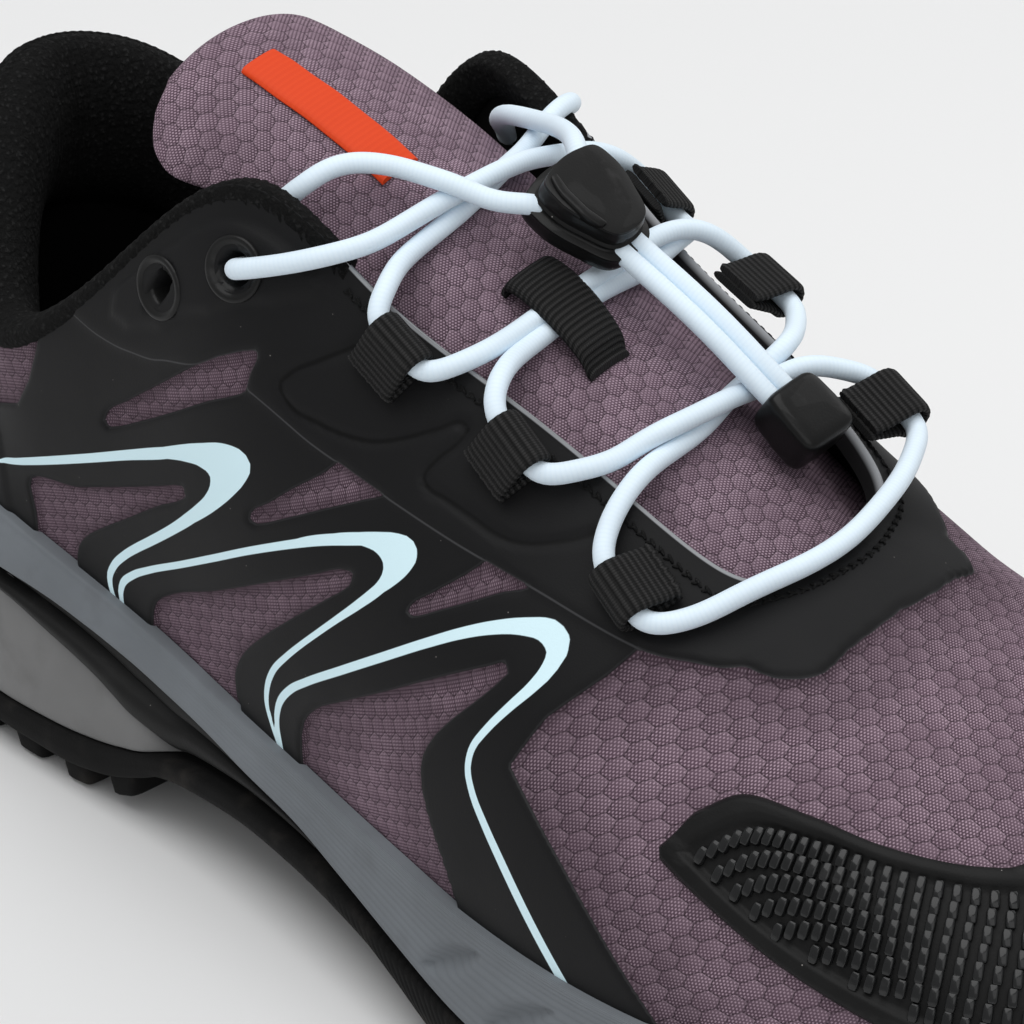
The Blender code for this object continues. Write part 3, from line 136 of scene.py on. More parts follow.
# Fabric windows of the side film as outlines in side view (x, z).
WINDOWS = {
    "upper_rear": ((81.5, 73.4), (82.2, 74.9), (87.6, 79.0), (95.6, 84.6), (105.2, 91.3), (109.6, 94.0),
        (113.6, 95.9), (116.1, 96.7), (116.8, 96.2), (116.4, 95.0), (115.7, 93.1), (115.3, 90.2),
        (113.9, 89.3), (108.9, 86.9), (98.7, 81.1), (89.8, 76.2), (83.7, 73.2), (81.9, 72.7)),
    "upper_middle": ((117.7, 70.3), (118.0, 71.5), (121.3, 74.1), (126.1, 78.1), (130.5, 81.4), (134.9, 85.4),
        (139.4, 86.5), (143.8, 82.8), (143.3, 82.3), (138.4, 79.8), (131.7, 76.5), (124.2, 72.6),
        (119.8, 70.4), (118.4, 70.0)),
    "upper_front": ((151.6, 67.8), (151.9, 68.6), (155.1, 71.5), (159.4, 75.2), (162.6, 78.4), (165.8, 80.0),
        (170.1, 76.6), (169.8, 76.2), (165.9, 74.5), (161.1, 71.9), (156.5, 69.4), (153.8, 67.9),
        (152.3, 67.4)),
    "lower_rear": ((58.7, 52.7), (73.0, 58.1), (84.0, 62.4), (95.1, 67.0), (100.3, 69.2), (102.1, 69.5),
        (102.4, 68.6), (101.2, 67.4), (94.8, 63.6), (85.4, 57.4), (77.6, 52.3), (73.1, 49.0),
        (70.5, 46.1), (69.4, 43.4), (69.2, 36.0), (60.0, 36.0), (59.2, 48.9)),
    "lower_middle": ((89.9, 42.0), (91.2, 44.3), (94.6, 46.9), (108.0, 53.8), (122.0, 61.3), (132.5, 66.7),
        (137.7, 69.3), (139.8, 69.6), (140.6, 68.9), (139.8, 67.7), (135.8, 64.2), (128.4, 58.1),
        (120.3, 51.1), (115.3, 46.1), (112.5, 42.0), (111.5, 38.5), (112.3, 34.9), (114.5, 28.0),
        (88.5, 30.0), (89.2, 39.0)),
    "lower_front": ((129.5, 36.8), (130.7, 40.9), (133.8, 44.6), (140.0, 48.8), (149.3, 54.5), (157.3, 59.4),
        (164.3, 63.4), (169.2, 65.9), (171.0, 66.8), (171.7, 66.6), (171.8, 65.8), (170.4, 63.5),
        (167.7, 60.2), (164.1, 56.1), (161.5, 52.5), (160.0, 49.1), (159.9, 46.4), (161.1, 43.0),
        (163.3, 39.1), (166.1, 35.0), (168.6, 30.7), (172.0, 22.0), (129.0, 22.0), (129.2, 31.9)),
    "collar_patch": ((-20.0, 62.0), (40.0, 63.2), (51.5, 65.3), (57.5, 67.6), (60.0, 69.4), (61.6, 71.8),
        (63.1, 74.9), (65.4, 80.0), (66.7, 83.2), (68.0, 100.0), (40.0, 116.0), (-20.0, 116.0)),
    "vamp": ((190.0, 76.0), (188.2, 71.7), (185.8, 68.6), (182.6, 65.3), (179.6, 61.0), (177.7, 57.9),
        (177.0, 55.6), (178.1, 53.8), (181.3, 51.8), (185.9, 49.1), (191.3, 45.4), (197.6, 40.8),
        (203.5, 36.2), (210.5, 30.7), (222.0, 18.0), (330.0, 10.0), (330.0, 105.0), (190.0, 105.0)),
}
# The printed line in side view: a stroke (x, z, half width), and the wide bends as pairs of an
# outer and an inner line (x, z) that share their ends.
PRINTED_LINE = (
    (50.0, 53.9, 0.10), (51.6, 54.6, 0.45), (55.9, 56.3, 0.66), (60.3, 58.2, 0.75), (69.3, 62.0, 0.84),
    (78.2, 65.7, 0.88), (87.1, 69.5, 0.95), (96.1, 73.3, 1.10), (100.5, 75.2, 1.00), (105.1, 76.9, 1.00),
    (109.6, 77.9, 1.00), (112.6, 77.2, 1.00), (113.4, 75.4, 1.00), (112.3, 73.1, 1.00), (110.1, 70.9, 1.00),
    (106.7, 67.7, 1.00), (103.0, 64.6, 1.10), (99.3, 61.6, 0.98), (91.6, 55.8, 0.88), (87.6, 52.9, 0.84),
    (83.8, 49.9, 0.80), (80.4, 46.5, 0.78), (78.8, 43.6, 0.76), (78.8, 41.6, 0.70), (80.0, 39.0, 0.55),
    (81.8, 36.8, 0.40), (81.6, 39.3, 0.55), (81.4, 41.6, 0.70), (82.1, 43.6, 0.74), (85.9, 47.2, 0.72),
    (90.4, 50.0, 0.66), (99.7, 55.1, 0.64), (109.0, 60.3, 0.66), (118.3, 65.4, 0.68), (127.9, 70.0, 0.76),
    (132.8, 72.1, 0.86), (137.7, 73.9, 1.05), (142.6, 75.2, 1.00), (146.4, 75.4, 1.00), (148.2, 74.2, 1.00),
    (148.0, 72.2, 1.00), (145.9, 69.3, 1.00), (142.3, 65.5, 0.80), (138.4, 61.8, 0.62), (134.6, 58.2, 0.56),
    (130.7, 54.5, 0.55), (127.0, 50.8, 0.58), (123.5, 46.8, 0.64), (121.6, 43.0, 0.68), (121.0, 39.6, 0.64),
    (122.0, 35.8, 0.54), (124.3, 30.6, 0.40), (123.8, 34.0, 0.55), (123.4, 37.0, 0.70), (124.4, 41.0, 0.76),
    (128.0, 45.6, 0.74), (132.0, 48.7, 0.72), (140.4, 54.4, 0.74), (148.8, 59.9, 0.76), (157.4, 65.3, 0.80),
    (161.8, 67.8, 0.86), (166.4, 69.9, 0.98), (171.2, 71.3, 1.20), (175.2, 71.5, 1.55), (177.6, 70.0, 1.65),
    (177.6, 67.4, 1.30), (176.6, 65.2, 1.00), (174.4, 62.0, 0.78), (171.7, 57.9, 0.68), (170.0, 54.4, 0.66),
    (170.1, 51.6, 0.68), (171.8, 48.8, 0.74), (175.5, 45.2, 0.84), (179.3, 41.9, 0.92), (186.8, 35.2, 0.98),
    (194.3, 28.4, 1.00), (200.0, 23.0, 1.00),
)
PRINTED_BENDS = (
    (((87.1, 69.5), (98.6, 75.5), (106.7, 79.1), (112.2, 80.9), (115.7, 80.9), (117.4, 79.9), (117.8, 78.7),
      (116.9, 76.4), (114.3, 73.1), (110.5, 69.4), (104.9, 64.9), (96.0, 59.2)),
     ((87.1, 69.5), (97.0, 72.8), (102.7, 74.5), (106.7, 75.1), (109.0, 74.5), (109.1, 73.2), (107.9, 70.9),
      (105.1, 67.9), (100.6, 63.8), (96.0, 59.2))),
    (((123.0, 67.6), (129.9, 71.8), (137.4, 74.7), (143.1, 76.5), (146.3, 77.2), (148.9, 77.1), (150.3, 76.2),
      (150.9, 74.7), (150.3, 73.0), (148.0, 70.1), (144.5, 67.1), (139.2, 62.1), (133.0, 56.7)),
     ((123.0, 67.6), (132.8, 71.5), (137.8, 73.2), (141.4, 73.9), (144.1, 73.6), (145.5, 72.6), (145.7, 71.1),
      (144.7, 69.2), (142.4, 66.4), (137.5, 61.4), (133.0, 56.7))),
)
# Pressed line under the loops and the raised field round the eyelets: row, depth under the edge.
PRESSED_LINE = ((5.91, 7.9), (6.09, 13.5), (6.27, 19.6), (6.31, 22.1), (6.24, 22.8), (5.95, 20.9),
                (5.71, 18.8), (5.53, 16.8), (5.33, 13.4), (5.13, 9.2), (5.0, 6.5), (4.94, 6.8),
                (4.95, 8.6), (5.05, 13.2), (5.09, 16.3), (5.03, 17.2), (4.88, 16.9), (4.64, 16.6),
                (4.37, 16.2), (4.23, 15.1), (4.05, 12.3), (3.89, 8.8), (3.83, 7.0))
RAISED_FIELD = ((7.9, 4.7), (7.72, 5.4), (7.38, 6.2), (7.16, 5.8), (6.9, 5.4), (6.71, 5.2), (6.51, 5.2),
                (6.28, 4.6), (6.22, 5.6), (6.27, 7.3), (6.52, 12.9), (6.97, 19.6), (7.44, 19.0), (7.76, 13.7),
                (7.92, 8.4))
EYESTAY = ((0.0, 13.6), (0.84, 15.8), (1.34, 18.5), (1.71, 17.5), (2.24, 14.2), (2.77, 13.9), (3.28, 16.2),
           (3.85, 18.4), (4.66, 21.2), (5.65, 23.0), (6.1, 25.0), (6.6, 27.4), (7.06, 28.5), (7.44, 24.8),
           (7.77, 17.7), (8.06, 9.4), (8.3, 1.0))
TOE_CAP = ((0.0, 0.8, 21.8), (0.9, 0.9, 21.8), (1.05, 1.0, 22.3), (1.45, 2.5, 24.6), (1.8, 6.2, 27.1),
           (2.3, 12.4, 29.0), (2.66, 17.6, 27.6), (2.95, 21.6, 23.3))
COUNTER = ((9.3, 14.0), (9.5, 19.0), (10.2, 21.0), (11.0, 26.0), (12.0, 31.0))
EYELETS = {"front": (6.84, 11.9), "rear": (7.47, 12.1)}
EYELET_HOLE = 5.0
# Webbing loops: row, depth, height over the film, turn of the bore in degrees, way of the fold.
LOOPS = {
    ("lateral", "rear"): (5.59, 3.2, 0.0, -9.0, 1),
    ("lateral", "middle"): (4.51, 4.6, 0.0, -15.0, 1),
    ("lateral", "front"): (3.46, 11.7, 0.0, -15.0, -1),
    ("medial", "rear"): (5.79, 6.5, 0.0, 0.0, -1),
    ("medial", "middle"): (4.73, 6.5, 2.9, 0.0, -1),
    ("medial", "front"): (3.50, 6.5, 3.0, 0.0, -1),
}
LOCK_AT = (144.6, 5.4, 115.7)
LOCK_ALONG = (0.85, 0.17, -0.50)
LOCK_UP = (0.55, -0.12, 0.83)
LOCK_OUTLINE = ((-7.6, -3.6), (-6.4, -6.9), (-2.4, -7.8), (4.0, -6.4), (9.2, -3.7), (10.0, 0.0),
                (9.2, 3.7), (4.0, 6.4), (-2.4, 7.8), (-6.4, 6.9), (-7.6, 3.6))
END_AT = (182.0, 12.3, 91.4)
END_ALONG = (0.80, 0.10, -0.59)
# Strands of the lace: end on the outer side, end on the inner side, places between them.
STRANDS = (
    (("rear", "rear"), ("front", "eyelet"),
     ((134.1, -26.0, 108.4), (132.7, -23.2, 110.4), (128.6, -16.4, 109.7), (129.1, -12.8, 111.5),
      (129.6, -7.1, 113.3), (128.7, -1.4, 114.8), (126.0, 5.9, 115.8), (121.1, 17.0, 114.9),
      (117.7, 23.9, 116.0), (117.4, 28.4, 118.2), (115.4, 33.2, 115.8))),
    (("front", "eyelet"), ("rear", "rear"),
     ((117.2, -34.4, 110.2), (122.3, -31.4, 111.8), (127.8, -26.5, 113.9), (125.9, -14.8, 112.2),
      (128.0, -8.6, 113.8), (128.7, -0.9, 114.8), (127.0, 9.2, 114.6), (125.9, 20.0, 114.5),
      (126.1, 25.4, 113.4), (126.7, 30.3, 110.4))),
    (("rear", "front"), ("middle", "rear"),
     ((146.3, -24.7, 100.4), (148.8, -20.6, 102.1), (147.0, -11.9, 101.8), (147.8, -7.5, 103.1),
      (148.2, -0.6, 104.3), (146.0, 10.1, 104.7), (145.5, 16.2, 106.5), (145.8, 20.7, 107.1),
      (146.7, 26.0, 107.2), (148.6, 30.1, 104.6))),
    (("middle", "rear"), ("rear", "front"),
     ((153.1, -23.5, 98.1), (153.0, -20.9, 100.4), (149.2, -13.0, 100.0), (150.1, -7.4, 101.9),
      (149.4, -0.8, 103.7), (148.9, 4.0, 104.0), (146.0, 17.4, 102.2), (145.4, 24.4, 104.2),
      (143.8, 30.2, 104.0))),
    (("middle", "front"), ("front", "rear"),
     ((168.9, -22.1, 91.0), (171.7, -19.5, 92.0), (169.8, -10.9, 89.8), (172.3, -1.8, 91.1),
      (171.5, 13.1, 90.1), (172.0, 17.5, 92.0), (174.0, 18.5, 94.4), (175.3, 23.1, 94.4),
      (177.5, 27.2, 92.7))),
    (("front", "rear"), ("middle", "front"),
     ((176.8, -24.3, 84.7), (176.4, -21.1, 87.8), (174.9, -14.4, 90.0), (172.8, -7.3, 89.6),
      (173.1, -0.3, 90.8), (168.6, 14.3, 91.3), (171.1, 19.9, 96.4), (168.1, 26.5, 95.7))),
    (("front", "front"), ("front", "front"),
     ((192.2, -24.6, 76.6), (194.6, -22.0, 78.1), (196.7, -16.2, 80.2), (199.4, -7.6, 81.6),
      (199.5, 3.0, 82.3), (197.7, 12.7, 84.0), (194.8, 21.3, 84.8))),
)
OUTER_END = ((109.6, -27.4, 111.4), (110.8, -24.9, 115.4), (113.6, -22.6, 118.6), (115.2, -18.6, 120.8),
             (118.2, -14.5, 121.2), (122.0, -10.9, 119.9), (126.4, -9.0, 118.0), (130.6, -7.0, 116.7),
             (135.0, -5.4, 116.2))
INNER_END = ((104.4, 28.4, 108.6), (107.2, 23.6, 112.4), (110.4, 21.2, 115.8), (115.0, 19.4, 117.8),
             (120.5, 18.6, 118.8), (126.5, 17.2, 120.0), (131.5, 15.0, 120.9))
# Lamps: name, place in metres, side of the square and power.
LAMPS = (("key", (-0.05, -0.2, 1.45), 1.4, 14.6), ("fill", (0.9, -0.6, 0.8), 0.9, 2.6),
         ("back", (0.1, 1.0, 0.9), 0.9, 3.0))
ROWS = len(LAST)


class Side(Enum):
    """The two sides of the foot."""

    OUTER = "lateral"
    INNER = "medial"

    def row(self, row: float) -> float:
        """Row number of the last on this side."""
        return row if self is Side.OUTER else ROWS - row


def closed_spline(rows: Array, at: Array) -> Array:
    """Natural cubic spline round a closed table, read at row numbers.

    Args:
        rows: Table of values, one evenly spaced row after the other.
        at: Row numbers to read.
    Returns:
        Values with the shape of at and one more axis for the columns.
    """
    count = len(rows)
    ring = np.eye(count)
    system = 4 * ring + np.roll(ring, 1, 0) + np.roll(ring, -1, 0)
    bend = np.linalg.solve(system, 6 * (np.roll(rows, -1, 0) - 2 * rows + np.roll(rows, 1, 0)))
    first = np.floor(at).astype(int)
    t = (at - first)[..., None]
    first = first % count
    second = (first + 1) % count
    s = 1 - t
    return (s * rows[first] + t * rows[second]
            + (s ** 3 - s) * bend[first] / 6 + (t ** 3 - t) * bend[second] / 6)


def unit(vectors: Array) -> Array:
    """Same directions with length 1."""
    return vectors / np.linalg.norm(vectors, axis=-1, keepdims=True)


def hermite(table: Array, slope: Array, k: Array, t: Array, step: Any = 1.0) -> Array:
    """Cubic from row k of a table to the next, with given slopes.

    Args:
        table: Values, one row after the other.
        slope: Slopes at the rows.
        k: Rows that the places lie behind.
        t: Shares of the way to the next row.
        step: Lengths between the two rows.
    Returns:
        Values at the places.
    """
    return (table[k] * (1 + 2 * t) * (1 - t) ** 2 + slope[k] * step * t * (1 - t) ** 2
            + table[k + 1] * t * t * (3 - 2 * t) + slope[k + 1] * step * t * t * (t - 1))


def steady_curve(xs: Array, ys: Array, at: Array) -> Array:
    """Cubic through a table with limited slopes, so that it never overshoots.

    Args:
        xs: Rising places of the table.
        ys: Values of the table.
        at: Places to read, held inside the table.
    Returns:
        Values at those places.
    """
    step = np.diff(xs)
    rise = np.diff(ys) / step
    slope = np.zeros(len(xs))
    same = rise[:-1] * rise[1:] > 0
    w1 = 2 * step[1:] + step[:-1]
    w2 = step[1:] + 2 * step[:-1]
    safe = np.where(same, rise[:-1], 1.0), np.where(same, rise[1:], 1.0)
    slope[1:-1] = np.where(same, (w1 + w2) / (w1 / safe[0] + w2 / safe[1]), 0.0)
    slope[0], slope[-1] = rise[0], rise[-1]
    at = np.clip(at, xs[0], xs[-1])
    k = np.clip(np.searchsorted(xs, at, side="right") - 1, 0, len(xs) - 2)
    return hermite(ys, slope, k, (at - xs[k]) / step[k], step[k])


def smooth_line(points: Array, steps: int, closed: bool = False) -> Array:
    """Cubic through points with slopes from their neighbours, read at even lengths.

    Args:
        points: Points to pass through.
        steps: Number of steps along the whole line.
        closed: Whether the line comes back to its first point.
    Returns:
        Points of the line, the last one left out where it is closed.
    """
    points = np.array(points, dtype=float)
    if closed:
        points = np.concatenate([points[-3:], points, points[:4]])
    length = run_length(points)
    slope = np.gradient(points, length, axis=0)
    low, high = (length[3], length[-4]) if closed else (0.0, length[-1])
    at = np.linspace(low, high, steps + 1)
    at = at[:-1] if closed else at
    k = np.clip(np.searchsorted(length, at, side="right") - 1, 0, len(points) - 2)
    h = (length[k + 1] - length[k])[:, None]
    return hermite(points, slope, k, ((at - length[k]) / h[:, 0])[:, None], h)


def ease(value: Array, low: float, high: float) -> Array:
    """Smooth step from 0 at low to 1 at high."""
    t = np.clip((value - low) / (high - low), 0.0, 1.0)
    return t * t * (3 - 2 * t)


def run_length(points: Array) -> Array:
    """Length along a line of points, from 0."""
    return np.concatenate([[0.0], np.cumsum(np.linalg.norm(np.diff(points, axis=0), axis=1))])


def softened(values: Array, reach: int, times: int = 2) -> Array:
    """Running mean along the first axis with both ends held.

    Args:
        values: Values along a line.
        reach: Points to each side in the mean.
        times: How often it is taken.
    Returns:
        Softened values.
    """
    kernel = np.ones(2 * reach + 1) / (2 * reach + 1)
    out = np.asarray(values, dtype=float).reshape(len(values), -1)
    for _ in range(times):
        wide = np.concatenate([2 * out[:1] - out[reach:0:-1], out, 2 * out[-1:] - out[-2:-reach - 2:-1]])
        out = np.stack([np.convolve(column, kernel, mode="valid") for column in wide.T], 1)
    return out.reshape(np.shape(values))


def outline_depth(x: Array, z: Array, outline: Points) -> Array:
    """Distance inside a closed outline, below zero outside: nearest edge, signed by crossings.

    Args:
        x: First coordinate of the places.
        z: Second coordinate of the places.
        outline: Corners of the outline.
    Returns:
        Distances with the shape of x.
    """
    corners = np.array(outline, dtype=float)
    best = np.full(x.shape, np.inf)
    inside = np.zeros(x.shape, dtype=bool)
    for a, b in zip(corners, np.roll(corners, -1, 0)):
        edge = b - a
        t = np.clip(((x - a[0]) * edge[0] + (z - a[1]) * edge[1]) / edge.dot(edge), 0.0, 1.0)
        best = np.minimum(best, (x - a[0] - t * edge[0]) ** 2 + (z - a[1] - t * edge[1]) ** 2)
        if a[1] != b[1]:
            crosses = (a[1] > z) != (b[1] > z)
            inside ^= crosses & (x < a[0] + (z - a[1]) * edge[0] / edge[1])
    return np.where(inside, 1.0, -1.0) * np.sqrt(best)


def line_offset(x: Array, z: Array, line: Array) -> tuple[Array, Array]:
    """Signed distance from an open line, left side above zero, and the line's own third column there.

    Args:
        x: First coordinate of the places.
        z: Second coordinate of the places.
        line: Points of the line with a value in a third column.
    Returns:
        Distances, and the values of the nearest places.
    """
    best = np.full(x.shape, np.inf)
    offset = np.zeros(x.shape)
    value = np.zeros(x.shape)
    for a, b in zip(line[:-1], line[1:]):
        edge = b[:2] - a[:2]
        t = np.clip(((x - a[0]) * edge[0] + (z - a[1]) * edge[1]) / edge.dot(edge), 0.0, 1.0)
        away_x = x - a[0] - t * edge[0]
        away_z = z - a[1] - t * edge[1]
        square = away_x ** 2 + away_z ** 2
        near = square < best
        best = np.where(near, square, best)
        offset = np.where(near, np.where(edge[0] * away_z - edge[1] * away_x >= 0, 1.0, -1.0), offset)
        value = np.where(near, a[2] + t * (b[2] - a[2]), value)
    return offset * np.sqrt(best), value


@dataclass
class Last:
    """The foot's form that every piece is worked out from."""

    length: float = 291.0
    ball_width: float = 94.0
    instep_height: float = 119.0
    heel_height: float = 108.0
    rows: Array = field(init=False)
    sole: Array = field(init=False)
    tongue: Array = field(init=False)
    origin: Array = field(init=False)

    def __post_init__(self) -> None:
        """Turns the tables into millimetres and radians and finds the frame's origin."""
        rows = np.array(LAST, dtype=float)
        heel = rows[:, 6]
        rows[:, [0, 3]] *= self.length / 100
        rows[:, [1, 4]] *= self.ball_width / 100
        rows[:, 5] *= (heel * self.heel_height + (1 - heel) * self.instep_height) / 100
        rows[:, 7:9] = np.radians(rows[:, 7:9])
        self.rows = rows
        self.sole = np.array(SOLE) * ([self.length / 100] + [1.0] * 6)
        self.tongue = np.array(TONGUE) * [self.length / 100, self.ball_width / 100, 1, 1, math.pi / 180, 1]
        u = np.arange(ROWS * 40) / 40
        place, _ = self.plan(u, self.flare(u, 1.0, 0.6))
        self.origin = np.array((*(0.5 * (place.min(0) + place.max(0))), 0.0))

    def height(self, column: str, x: Array) -> Array:
        """Height of one line of the sole at x."""
        return steady_curve(self.sole[:, 0], self.sole[:, SOLE_COLUMNS.index(column)], x)

    def flare(self, u: Array, share: float = 1.0, extra: float = 0.0) -> Array:
        """How far the sole stands beyond the foot."""
        return closed_spline(self.rows[:, 2:3], u)[..., 0] * share + extra

    def plan(self, u: Array, out: Any = 0.0) -> tuple[Array, Array]:
        """Foot outline in plan, moved outwards.

        Args:
            u: Row numbers.
            out: Distance outwards.
        Returns:
            Places and outward directions.
        """
        u = np.asarray(u, dtype=float)
        place = closed_spline(self.rows[:, :2], u)
        ahead = closed_spline(self.rows[:, :2], u + 0.01) - closed_spline(self.rows[:, :2], u - 0.01)
        normal = unit(np.stack([-ahead[..., 1], ahead[..., 0]], -1))
        return place + normal * np.broadcast_to(out, u.shape)[..., None], normal

    def meridian(self, u: Array, v: Array) -> Array:
        """Cubic Bezier from the bed to the topline, handles from lean and slope.

        Args:
            u: Row numbers.
            v: Shares of the rise, 0 at the bed.
        Returns:
            Places on the last.
        """
        row = closed_spline(self.rows, u)
        place, normal = self.plan(u)
        foot = np.concatenate([place, (self.height("bed", place[..., 0]) + GAP)[..., None]], -1)
        top = row[..., 3:6]
        rise = np.linalg.norm(top - foot, axis=-1)
        lean, slope = row[..., 7], row[..., 8]
        up = np.concatenate([normal * np.sin(lean)[..., None], np.cos(lean)[..., None]], -1)
        down = np.concatenate([normal * np.cos(slope)[..., None], -np.sin(slope)[..., None]], -1)
        low = foot + up * (row[..., 9] * rise)[..., None]
        high = top + down * (row[..., 10] * rise)[..., None]
        t = np.asarray(v)[..., None]
        s = 1 - t
        return s ** 3 * foot + 3 * s * s * t * low + 3 * s * t * t * high + t ** 3 * top

    def frames(self, u: Array, v: Array) -> tuple[Array, Array, Array]:
        """Directions on the wall from its differences.

        Args:
            u: Row numbers.
            v: Shares of the rise.
        Returns:
            Directions along the foot, up the wall and outwards.
        """
        e = 0.01
        v = np.clip(v, e, 1 - e)
        along = self.meridian(u + e, v) - self.meridian(u - e, v)
        rise = self.meridian(u, v + e) - self.meridian(u, v - e)
        outward = unit(np.cross(rise, along))
        along = unit(along - outward * (along * outward).sum(-1, keepdims=True))
        return along, np.cross(along, outward), outward

    def wall(self, u: Any, v: Any, out: Any = 0.0) -> Array:
        """Upper's place moved along the wall's normal.

        Args:
            u: Row numbers.
            v: Shares of the rise.
            out: Distance outwards.
        Returns:
            Places.
        """
        u, v, out = np.broadcast_arrays(np.asarray(u, float), np.asarray(v, float), np.asarray(out, float))
        v = np.clip(v, 0.0, 1.0)
        return self.meridian(u, v) + self.frames(u, v)[2] * out[..., None]

    def share_at(self, u: Array, level: Any, by_height: bool) -> Array:
        """Share v where a meridian reaches a level, by straight lines between 61 places.

        Args:
            u: Row numbers, one after the other.
            level: Height, or depth under the topline along the meridian.
            by_height: Whether level is a height.
        Returns:
            Shares with the shape of u.
        """
        u = np.asarray(u, dtype=float)
        flat = u.reshape(-1, 1)
        share = np.linspace(0.0, 1.0, 61)
        line = self.meridian(np.repeat(flat, 61, 1), np.repeat(share[None], u.size, 0))
        if by_height:
            run = line[..., 2]
            want = np.broadcast_to(level, u.shape).reshape(-1)
        else:
            steps = np.linalg.norm(np.diff(line, axis=1), axis=2)
            run = np.concatenate([np.zeros((u.size, 1)), np.cumsum(steps, 1)], 1)
            want = run[:, -1] - np.broadcast_to(level, u.shape).reshape(-1)
        k = np.clip((run < want[:, None]).sum(1), 1, 60)
        rows = np.arange(u.size)
        t = (want - run[rows, k - 1]) / np.maximum(run[rows, k] - run[rows, k - 1], 1e-9)
        return np.clip((k - 1 + np.clip(t, 0.0, 1.0)) / 60, 0.0, 1.0).reshape(u.shape)

    def under_top(self, u: Array, depth: Any, out: Any) -> Array:
        """Upper's place at a depth along the meridian, straight on above the topline.

        Args:
            u: Row numbers.
            depth: Length under the topline, below zero above it.
            out: Distance outwards.
        Returns:
            Places.
        """
        u = np.asarray(u, dtype=float)
        depth = np.broadcast_to(depth, u.shape)
        point = self.wall(u, self.share_at(u, np.maximum(depth, 0.0), False), out)
        rise = unit(self.meridian(u, np.ones_like(u)) - self.meridian(u, np.full_like(u, 0.98)))
        return point + rise * np.maximum(-depth, 0.0)[..., None]

    def spot(self, row: float, depth: float, out: float) -> tuple[Array, Array]:
        """One place on the wall with its directions.

        Args:
            row: Row number.
            depth: Length under the topline.
            out: Distance outwards.
        Returns:
            The place, and directions along, up and outwards as rows.
        """
        u = np.array([row], dtype=float)
        v = self.share_at(u, depth, False)
        axes = np.array([direction[0] for direction in self.frames(u, v)])
        return self.wall(u, v, out)[0], axes

    def loop(self, side: Side, name: str) -> tuple[Array, Array]:
        """Bore of a webbing loop.

        Args:
            side: Side of the foot.
            name: Place of the loop on that side.
        Returns:
            Its middle, then directions as rows: along the bore, the way of its fold, outwards.
        """
        row, depth, lift, turn, fold = LOOPS[side.value, name]
        place, axes = self.spot(side.row(row), depth, FILM_TOP + GAP + STRAP + LOOP_BORE + lift)
        forward = axes[0] if axes[0][0] > 0 else -axes[0]
        up = axes[1] if axes[1][2] > 0 else -axes[1]
        cosine, sine = math.cos(math.radians(turn)), math.sin(math.radians(turn))
        return place, np.array((forward * cosine + up * sine, (up * cosine - forward * sine) * fold, axes[2]))

    def tongue_at(self, s: Array) -> list[Array]:
        """Columns of the tongue's table at shares from front to tip."""
        stations = np.linspace(0.0, 1.0, len(self.tongue))
        return [steady_curve(stations, column, s) for column in self.tongue.T]

    def tongue_point(self, s: Any, t: Any, lift: Any = 0.0) -> Array:
        """Arc of the tongue's crown.

        Args:
            s: Shares from front to tip.
            t: Shares of the half angle, from edge to edge.
            lift: Distance outwards.
        Returns:
            Places.
        """
        s, t, lift = np.broadcast_arrays(np.asarray(s, float), np.asarray(t, float), np.asarray(lift, float))
        x, y, crown, radius, half, _ = self.tongue_at(s)
        reach = radius + lift
        return np.stack([x, y + reach * np.sin(t * half), crown + lift - reach * (1 - np.cos(t * half))], -1)


def by_row(table: Points, column: int, u: Array) -> Array:
    """Column of a short table, read the same on both sides of the foot.

    Args:
        table: Rows that start with a row number of the outer side.
        column: Column to read.
        u: Row numbers of either side.
    Returns:
        Values with the shape of u.
    """
    rows = np.array(table, dtype=float)
    side = np.mod(u, ROWS)
    return steady_curve(rows[:, 0], rows[:, column], np.minimum(side, ROWS - side))


@dataclass
class Surface:
    """Points and faces of one piece, with values at its points."""

    points: Array
    faces: list[Array]
    values: dict[str, Array] = field(default_factory=dict)

    def joined(self, *others: "Surface") -> "Surface":
        """One surface of this and others.

        Args:
            others: Surfaces to add.
        Returns:
            The joined surface, with the values that all have.
        """
        parts = [self, *others]
        starts = np.concatenate([[0], np.cumsum([len(part.points) for part in parts])])
        faces = [each + start for part, start in zip(parts, starts) for each in part.faces]
        shared = set.intersection(*[set(part.values) for part in parts])
        return Surface(np.concatenate([part.points for part in parts]), faces,
                       {key: np.concatenate([part.values[key] for part in parts]) for key in sorted(shared)})


def lattice(rows: int, columns: int, wrap_rows: bool = False, wrap_columns: bool = False) -> Array:
    """Quads of a grid of points.

    Args:
        rows: Number of rows.
        columns: Number of columns.
        wrap_rows: Whether the last row joins the first.
        wrap_columns: Whether the last column joins the first.
    Returns:
        Point numbers, four a face.
    """
    i = np.arange(rows if wrap_rows else rows - 1)[:, None]
    j = np.arange(columns if wrap_columns else columns - 1)[None]
    i, j = np.broadcast_arrays(i, j)
    k = (i + 1) % rows
    m = (j + 1) % columns
    return np.stack([i * columns + j, i * columns + m, k * columns + m, k * columns + j], -1).reshape(-1, 4)


def rungs(size: int, first: int) -> Array:
    """Quads that close a ring of an even number of points from one side to the other."""
    j = np.arange(size // 2 - 1)
    return first + np.stack([j, j + 1, size - 2 - j, size - 1 - j], -1)


